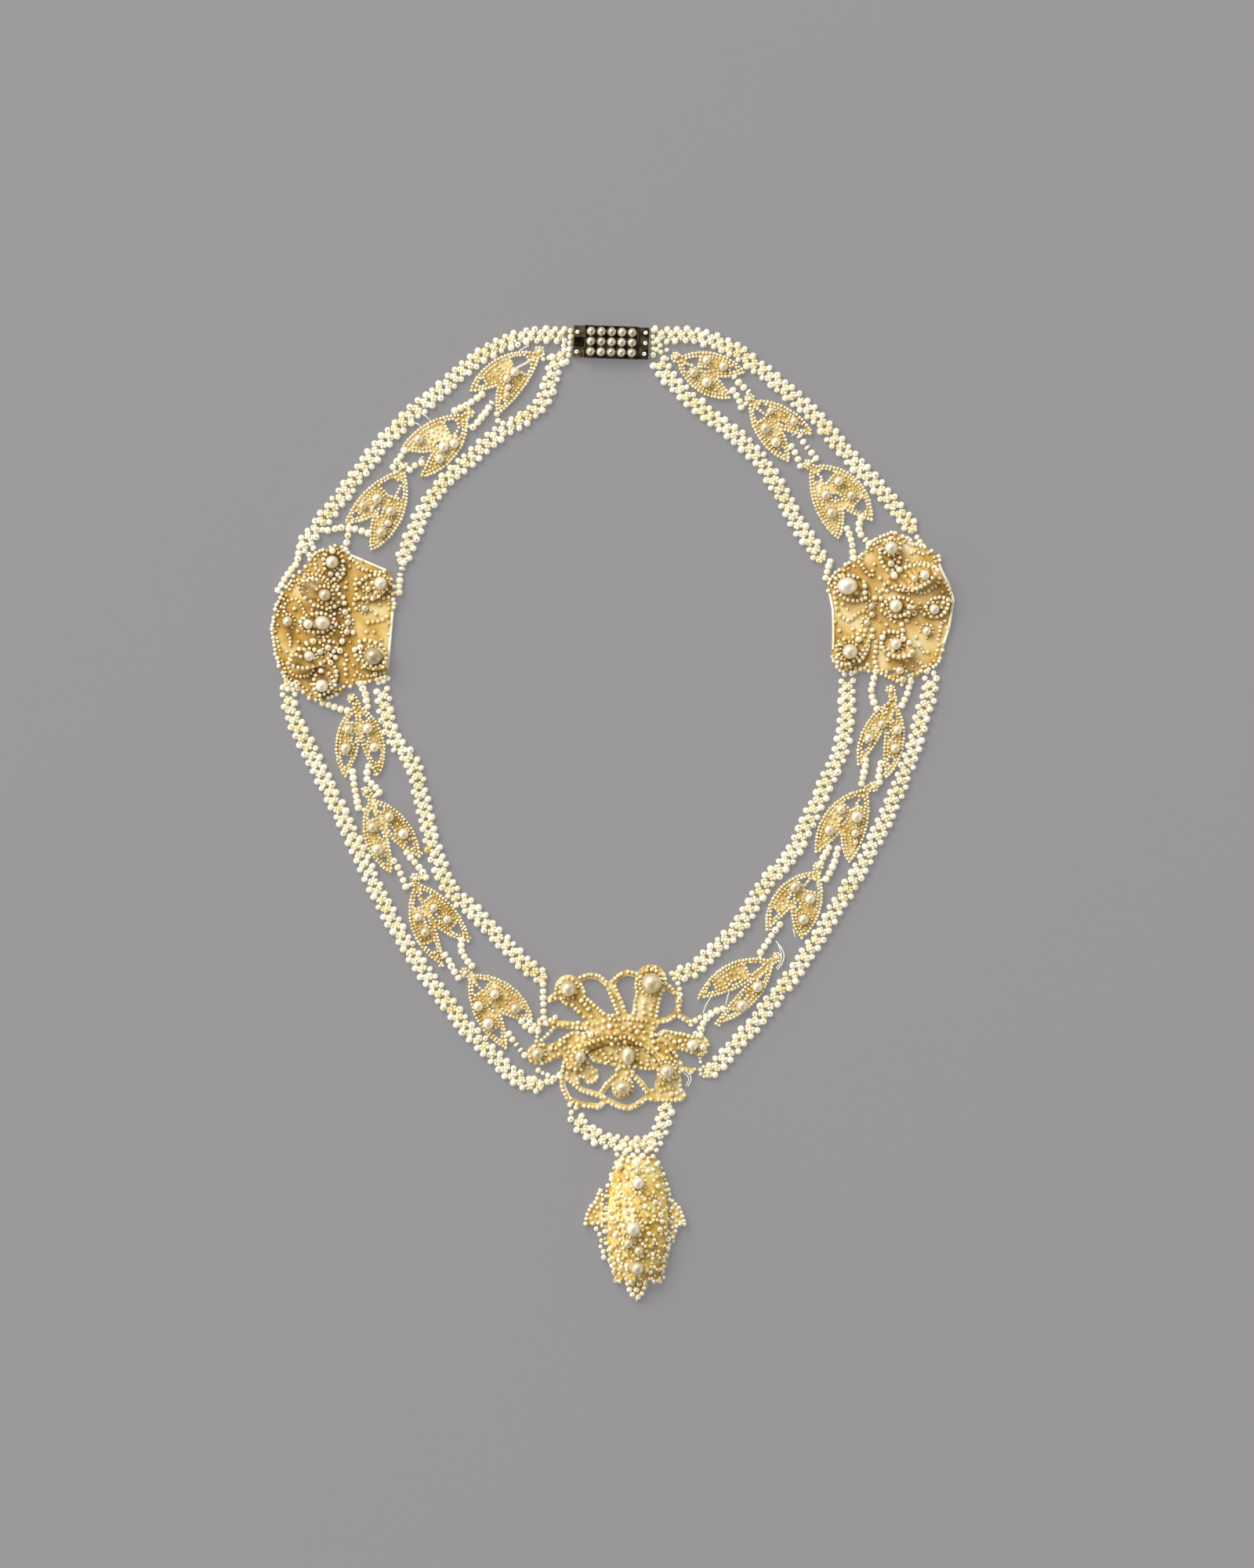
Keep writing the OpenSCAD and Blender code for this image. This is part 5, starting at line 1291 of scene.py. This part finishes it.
# %% Sew the centre ornament
cover = Cover()
lay_rows(cover, CENTRE_ROWS, (0.2, 0.9))
edge_with_beads(cover, "centre_plate", PLATE_TOP, 0.92, (0.1, 0.7), inset=0.34, gapped=1.0)
for pearl in centres_of("centre_pearls"):
    ring_round(cover, pearl, 0.78, (0.2, 0.9), share=0.85)
strew(cover, "centre_plate", spacing=1.3, d=0.95, tints=(0.2, 0.8))
sew("lace_pearls", FINE_BEAD, cover.spots, "ornament_pearls")

# %% [markdown]
# The pendant is a hollow-backed drop covered in overlapping scales. The CAD body gives its size
# in a few flat faces, so a merged copy of it is drawn in at its lower end, step by step, and
# rounded by a subdivision surface.

# %% Round the drop
DROP_X = 5.2
only(NODES["pendant_body"])
bpy.ops.object.duplicate()
drop = bpy.context.active_object
drop.name = "pendant_drop"
for key in list(drop.keys()):  # the copy drops the marks that name it a CAD node
    del drop[key]
bpy.ops.object.mode_set(mode="EDIT")
bpy.ops.mesh.select_all(action="SELECT")
bpy.ops.mesh.remove_doubles(threshold=0.001 * MM)
bpy.ops.mesh.tris_convert_to_quads()
bpy.ops.object.mode_set(mode="OBJECT")
for start, ease in ((-90.0, 0.97), (-93.0, 0.95), (-96.5, 0.93), (-99.0, 0.92)):
    pick(drop, lambda co: co.y < start * MM)
    bpy.ops.transform.resize(value=(ease, 1, 1), center_override=(DROP_X * MM, 0, 0))
bpy.ops.object.mode_set(mode="OBJECT")
rounding = drop.modifiers.new("rounding", "SUBSURF")
rounding.levels = rounding.render_levels = 2
bpy.ops.object.modifier_apply(modifier="rounding")
bpy.ops.object.shade_smooth()
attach(drop, "root")
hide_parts("pendant_body")
print("drop:", len(drop.data.polygons), "faces")

# %% [markdown]
# One scale is shaped from a sphere, pressed flat and drawn to a soft point. It will be copied down
# the drop in staggered rows, so the drop's half width and height are wanted at every place along
# it. They come from the sections that the CAD body was built on.

# %% Model one scale
bpy.ops.object.select_all(action="DESELECT")
bpy.ops.mesh.primitive_uv_sphere_add(segments=12, ring_count=8, radius=0.5 * MM)
SCALE = bpy.context.active_object
SCALE.name = "nacre_scale"
pick(SCALE, lambda co: True)
bpy.ops.transform.resize(value=(1.0, 1.1, 0.24), center_override=(0, 0, 0))
pick(SCALE, lambda co: co.y < -0.3 * MM)
bpy.ops.transform.resize(value=(0.55, 1.12, 0.8), center_override=(0, -0.3 * MM, 0))
bpy.ops.object.mode_set(mode="OBJECT")
bpy.ops.object.shade_smooth()
SCALE.data.materials.append(DROP_NACRE)
SEWING[SCALE.name] = sewing_tree(SCALE)
print("scale:", len(SCALE.data.polygons), "faces")

# %% Measure the drop
DROP_H = 6.0
DROP_SECTIONS = [  # place along the drop, half width, height as a share of the whole
    (-72.7, 3, 0.35), (-74, 4.3, 0.48), (-77.3, 5.8, 0.72), (-80.6, 6.6, 0.9),
    (-84.5, 6.9, 0.98), (-88, 7, 1), (-91.8, 6.7, 0.94), (-95, 6.0, 0.8), (-98, 4.9, 0.6),
    (-99.6, 3.7, 0.42)]


def drop_at(y):
    """Half width and height of the drop at a place along it."""
    for (y0, w0, h0), (y1, w1, h1) in zip(DROP_SECTIONS, DROP_SECTIONS[1:]):
        if y1 <= y <= y0:
            t = (y0 - y) / (y0 - y1)
            return w0 + t * (w1 - w0), DROP_H * (h0 + t * (h1 - h0))
    return DROP_SECTIONS[-1][1], DROP_H * DROP_SECTIONS[-1][2]


def bulge(across):
    """Height of the drop's round section at a share of its half width, as a share."""
    return math.sqrt(1 - across * across)


print("the drop in its middle, half width and height:", drop_at(-88))

# %% [markdown]
# The photograph shows some thirty middle-sized pearls on the pendant, so these are set first, one
# by one. Then come the scales, each with a row of tiny pearls along its lower edge, then a row of
# pearls down each flank, the rows round the wings and the tip, strewn pearls in what is bare, and a
# fringe at the sides and the lower end.

# %% Set the middle-sized pearls on the drop
cover = Cover()
SET_BY_HAND = [
    (7.3, -76.1, 1.3), (-0.3, -77.8, 1.4), (-0.5, -84.7, 1.5), (-0.1, -86.1, 1.3),
    (2.9, -84.7, 1.3), (10.1, -85.3, 1.4), (10.3, -86.7, 1.3), (7.6, -89.2, 1.2),
    (9.9, -88.4, 1.3), (-0.5, -92.5, 1.5), (11.6, -90.5, 1.5), (11.5, -92.5, 1.4),
    (10.6, -95, 1.3), (2.9, -96, 1.3), (4.2, -99.2, 1.2), (0.4, -89.6, 1.3), (2.2, -87.6, 1.2),
    (8.4, -93.6, 1.2), (1.2, -94.9, 1.3), (7.9, -97.4, 1.3), (9.5, -79.3, 1.3), (1.2, -79.6, 1.2),
    (6.8, -83.4, 1.3), (4.3, -84.2, 1.2), (8.9, -82.6, 1.2), (4.9, -101.3, 1.5),
    (5.3, -102.9, 1.2)]
TIP_TOP, TIP_FROM = 1.2, -100  # the tip is a flat plate below this place
for x, y, d in SET_BY_HAND:
    half, high = drop_at(y)
    across = max(-0.95, min(0.95, (x - DROP_X) / half))
    rest = high * bulge(across) if y > TIP_FROM else TIP_TOP
    cover.put(x, y, d, rng.uniform(0, 3), rng.uniform(0.0, 0.35), z=rest + 0.2 * d)
print("middle-sized pearls on the drop:", len(cover.spots))

# %% Lay the scales and their pearls
SCALES_FROM, SCALES_TO, SCALE_STEP = -75.2, -99.0, 2.5
SCALE_LONG, SCALE_THICK, SCALE_SPREAD, SCALE_TILT = 3.9, 2.2, 2.25, math.radians(-7)
SCALE_IN, SCALE_SUNK, SCALE_ROLL = 0.82, 0.97, 0.62
BEADS, BEADS_D, BEADS_DOWN, BEADS_CURVE, BEADS_REACH, BEADS_LIFT = 7, 0.85, 1.85, 1.5, 0.44, 0.35
scales = []
row, y = 0, SCALES_FROM
while y > SCALES_TO:
    half, high = drop_at(y)
    count = (3 if half < 5.5 else 4) + row % 2
    for k in range(count):
        a = math.pi * (k + 0.5) / count
        x = DROP_X + half * SCALE_IN * math.cos(a)
        z = high * math.sin(a) * SCALE_SUNK
        wide = SCALE_SPREAD * half / count
        scales.append(((x * MM, y * MM, z * MM), (wide, SCALE_LONG, SCALE_THICK),
                       (SCALE_TILT, (math.pi / 2 - a) * SCALE_ROLL, 0.0), rng.random()))
        for j in range(BEADS):
            s = 2 * j / (BEADS - 1) - 1  # from -1 to 1 along the scale's lower edge
            bead_x, bead_y = x + s * wide * BEADS_REACH, y - BEADS_DOWN + BEADS_CURVE * s * s
            inside = max(-1, min(1, (bead_x - DROP_X) / (half * 0.98)))
            cover.put(bead_x, bead_y, BEADS_D * rng.uniform(0.85, 1.2), 0.0,
                      rng.uniform(0.1, 0.9), z=high * bulge(inside) + BEADS_LIFT)
    y -= SCALE_STEP
    row += 1
print("scales:", len(scales), "in", row, "rows")

# %% Edge the drop, its wings and its tip, and fill what is bare
FLANK_FROM, FLANK_TO, FLANK_Z, FLANK_PITCH = -73.2, -99.8, 1.1, 1.02
for side in (-1, 1):
    y = FLANK_FROM
    while y > FLANK_TO:
        half, high = drop_at(y)
        d = rng.uniform(1.0, 1.3)
        cover.put(DROP_X + side * (half - 0.05 + rng.uniform(-0.12, 0.12)), y, d, math.pi / 2,
                  rng.uniform(0.0, 0.3), z=FLANK_Z)
        y -= d * FLANK_PITCH
for node in ("pendant_wing_left", "pendant_wing_right", "pendant_tip"):
    edge_with_beads(cover, node, TIP_TOP, 1.25 if node == "pendant_tip" else 0.95, (0.0, 0.2),
                    inset=0.1)
    strew(cover, node, spacing=1.05, d=0.8, tints=(0.0, 0.5))
for pearl in centres_of("pendant_pearls"):
    ring_round(cover, pearl, 0.75, (0.0, 0.5))
STREWN_TRIES, STREWN_TO, STREWN_ACROSS = 700, -99.4, 0.94
STREWN_SPACING, STREWN_LIFT = 1.4, 0.3
for _ in range(STREWN_TRIES):
    y = rng.uniform(STREWN_TO, FLANK_FROM)
    half, high = drop_at(y)
    across = rng.uniform(-STREWN_ACROSS, STREWN_ACROSS)
    x, z, d = DROP_X + across * half, high * bulge(across) + STREWN_LIFT, rng.uniform(0.75, 1.2)
    if not cover.crowded(x, y, z, STREWN_SPACING, 1.0):
        cover.put(x, y, d, rng.uniform(0, 3), rng.uniform(0.1, 0.9), z=z)
FRINGE = [
    (-3.6, -88.4), (-2.9, -89.6), (-2.5, -90.9), (-2.7, -92.2), (-2.1, -93.3), (-2, -94.5),
    (-1.5, -90.2), (-1.6, -91.8), (13.2, -88.4), (12.8, -89.7), (12.6, -91), (12.2, -92.3),
    (12.5, -87.3), (11.6, -93.6), (9.9, -99.6), (8.7, -100.1), (10.7, -98.8), (0.6, -99.4)]
for x, y in FRINGE:
    cover.put(x, y, rng.uniform(0.95, 1.3), 0.0, rng.uniform(0.0, 0.3), z=rng.uniform(0.6, 1.1))
print("small pearls on the pendant:", len(cover.spots))

# %% [markdown]
# The swag's thread gathers in a little crown of loose pearls on top of the drop, with one
# drawn-out pearl in front. They pile up towards the drop, so their height grows down the picture.

# %% Crown the pendant
CROWN = [
    (1.6, -71.3, 1.2), (2.5, -72.3, 1.3), (3.5, -71.6, 1.1), (4.2, -72.8, 1.4), (5.2, -71.9, 1.2),
    (6.2, -72.9, 1.5), (7.1, -71.9, 1.2), (8.0, -71.3, 1.3), (8.8, -70.4, 1.2), (9.2, -71.7, 1.1),
    (1.9, -73.6, 1.1), (8.4, -73.0, 1.1), (3.1, -74.0, 1.1), (7.4, -74.2, 1.1), (2.4, -70.6, 1.3),
    (3.7, -70.3, 1.2), (5.0, -70.9, 1.3), (6.4, -70.5, 1.2), (7.6, -70.2, 1.2), (0.8, -72.6, 1.1),
    (1.2, -75.1, 1.9), (9.3, -74.6, 1.2)]
CROWN_FROM, CROWN_Z, CROWN_RISE = -71, 1.3, 0.5
crown = [spot(x, y, CROWN_Z + CROWN_RISE * (CROWN_FROM - y), d, rng.uniform(0, 3),
              rng.uniform(0.0, 0.4), lean=hole_turn(0.2)) for x, y, d in CROWN]
crown.append(spot(5.1, -74.1, 3.1, 1.85, math.pi / 2, 0.1, long=1.3))  # the one in front
sew("crown_pearls", BEAD, crown, "ornament_pearls")
sew("pendant_scales", SCALE, scales, "pendant_nacre")
sew("pendant_small_pearls", FINE_BEAD, cover.spots, "ornament_pearls")

# %% [markdown]
# Everything is sewn with white horsehair. Most of it is hidden inside the pearls; what shows is
# the knots in the clasp's thread holes and a few bare stretches beside the leaves and the centre.
# Each is a soft curve given a round thickness, and made a mesh before it joins the piece.

# %% Lay the horsehair
HAIR_D = 0.2
HAIRS = {
    "horsehair_left": [
        [(-20.4, 97.7, 1.0), (-18.9, 98.8, 1.4), (-17.9, 99.2, 1.2)],
        [(-20.8, 94.5, 1.0), (-18.8, 95.5, 1.1), (-16.6, 96.8, 1.0)],
        [(-20.7, 94.3, 1.0), (-18.7, 95.3, 1.0), (-16.5, 96.5, 1.0)],
        [(-40.9, 84.9, 0.9), (-39.8, 84.2, 1.3), (-38.9, 83.4, 0.9)],
        [(-42.1, 82.8, 0.9), (-41.4, 82.5, 1.2), (-40.9, 81.9, 0.9)],
        [(-41.2, 75.1, 0.9), (-40.6, 75.5, 1.3), (-40.2, 75.6, 0.9)]],
    "horsehair_right": [
        [(37.9, 80.1, 0.9), (38.7, 80.5, 1.3), (39.2, 80.6, 0.9)],
        [(38.2, -24.8, 0.9), (38.5, -25.6, 1.2), (38.6, -26.4, 0.9)],
        [(34.6, -27.3, 0.9), (36.2, -29.7, 1.4), (36.0, -31.8, 1.2), (34.9, -33.4, 0.9)],
        [(34.9, -27.6, 0.9), (35.7, -29.9, 1.2), (35.6, -31.7, 1.1), (34.6, -33.1, 0.9)],
        [(20.9, -38.9, 0.9), (19.6, -41.1, 1.2), (19.1, -42.6, 0.9)],
        [(24.6, -38.1, 0.9), (24.2, -39.5, 1.2), (23.9, -40.9, 0.9)],
        [(14.8, -54.6, 1.2), (16.5, -56.2, 1.5), (15.9, -58.2, 1.2)],
        [(14.4, -54.9, 1.2), (16.0, -56.4, 1.3), (15.5, -58.0, 1.1)]],
}
for name, lines in HAIRS.items():
    join_as(name, [soft_tube(line, HAIR_D) for line in lines], HORSEHAIR)

# %% Tie the knots at the clasp
KNOT_HOLES = [(-7.6, 102.1, 1.7), (-7.8, 97.9, 1.7), (6.9, 101.9, 2.0), (6.8, 99.7, 2.0),
              (6.6, 97.4, 2.0)]
TIE_REACH, TIE_LIFT, TIE_RISE, TIE_THICK = 0.28, 0.1, 0.06, 0.34
knots = []
for x, y, z in KNOT_HOLES:
    loop = [(x + TIE_REACH * math.cos(a), y + TIE_REACH * math.sin(a),
             z + TIE_LIFT + TIE_RISE * math.sin(2 * a))
            for a in [2 * math.pi * k / 8 for k in range(10)]]
    knots.append(soft_tube(loop, TIE_THICK))
join_as("clasp_thread_knots", knots, HORSEHAIR)

# %% [markdown]
# The photograph is a museum kind: the collar lies flat on plain pale grey and is seen from
# straight above. Pearls are mirrors of what is round them, so the light is what draws them. A
# large box at the upper left gives the highlight, two weak low boxes and a bright room give each
# ball its white rim, and a dark ceiling, leaning to the lower right, leaves the grey in it.

# %% Floor
# Matt grey glass of a light table: it glows a little, so that no shadow turns black
GREY_GLASS = finish_named(
    "grey_light_table_glass", Roughness=0.9, Base_Color=paint("#5F5D5E"), Specular_IOR_Level=0.1,
    Emission_Color=paint("#9A9899"), Emission_Strength=0.55)[0]
bpy.ops.object.select_all(action="DESELECT")
bpy.ops.mesh.primitive_plane_add(size=6, location=(0, 0, 0))
table_top = bpy.context.active_object
table_top.name = "table_top"
table_top.data.materials.append(GREY_GLASS)
print("floor:", table_top.name, "of", GREY_GLASS.name)

# %% Softboxes and the bright room
LIGHTS = [  # name, degrees around and up, watts, metres across
    ("key_box", 128, 46, 66.0, 1.7), ("side_box_1", 200, 20, 14.0, 2.2),
    ("side_box_2", -30, 20, 14.0, 2.4),
]
LIGHT_REACH = 2.5
for name, around, up, watts, size in LIGHTS:
    lamp = bpy.data.lights.new(name, "AREA")
    lamp.shape, lamp.size, lamp.energy = "SQUARE", size, watts
    holder = bpy.data.objects.new(name, lamp)
    a, e = math.radians(around), math.radians(up)
    toward = Vector((math.cos(a) * math.cos(e), math.sin(a) * math.cos(e), math.sin(e)))
    holder.location = toward * LIGHT_REACH
    holder.rotation_mode = "QUATERNION"
    holder.rotation_quaternion = toward.to_track_quat("Z", "Y")
    holder.visible_camera = False
    bpy.context.scene.collection.objects.link(holder)

DARK_SIDE = (0.33, -0.39, 0.86)  # where the dark part of the ceiling is
world = bpy.data.worlds.new("studio")
world.use_nodes = True
room = world.node_tree
facing = add(room, "ShaderNodeVectorMath", {1: DARK_SIDE},
             {0: add(room, "ShaderNodeTexCoord").outputs["Generated"]}, operation="DOT_PRODUCT")
walls = add(room, "ShaderNodeValToRGB", {}, {"Fac": facing.outputs["Value"]},
            [(0.2, "#FFFFFF"), (0.5, "#DCDCDC"), (0.75, "#949494"), (0.93, "#303030")])
room.links.new(walls.outputs["Color"], room.nodes["Background"].inputs["Color"])
room.nodes["Background"].inputs["Strength"].default_value = 1.0
bpy.context.scene.world = world
bpy.context.scene.view_settings.view_transform = "Standard"
print("lights:", len(LIGHTS), "and the room")

# %% Camera
LENS, SENSOR, FRAME_HIGH = 200, 36, 2000 / 6
CAMERA_X, CAMERA_Y = 2.917, 6.083  # the middle of the photograph's frame
eye = bpy.data.cameras.new("camera")
eye.lens, eye.sensor_width = LENS, SENSOR
eye.clip_start, eye.clip_end = 0.05, 20
camera = bpy.data.objects.new("camera", eye)
camera.location = (CAMERA_X * MM, CAMERA_Y * MM, FRAME_HIGH * MM * LENS / SENSOR)
bpy.context.scene.collection.objects.link(camera)
bpy.context.scene.camera = camera
print("camera height:", round(camera.location.z, 3), "m")

# %% [markdown]
# The model beads are not part of the necklace, so they go.

# %% Finish
for model in (BEAD, FINE_BEAD, BAROQUE, ROUND, SCALE):
    bpy.data.objects.remove(model)
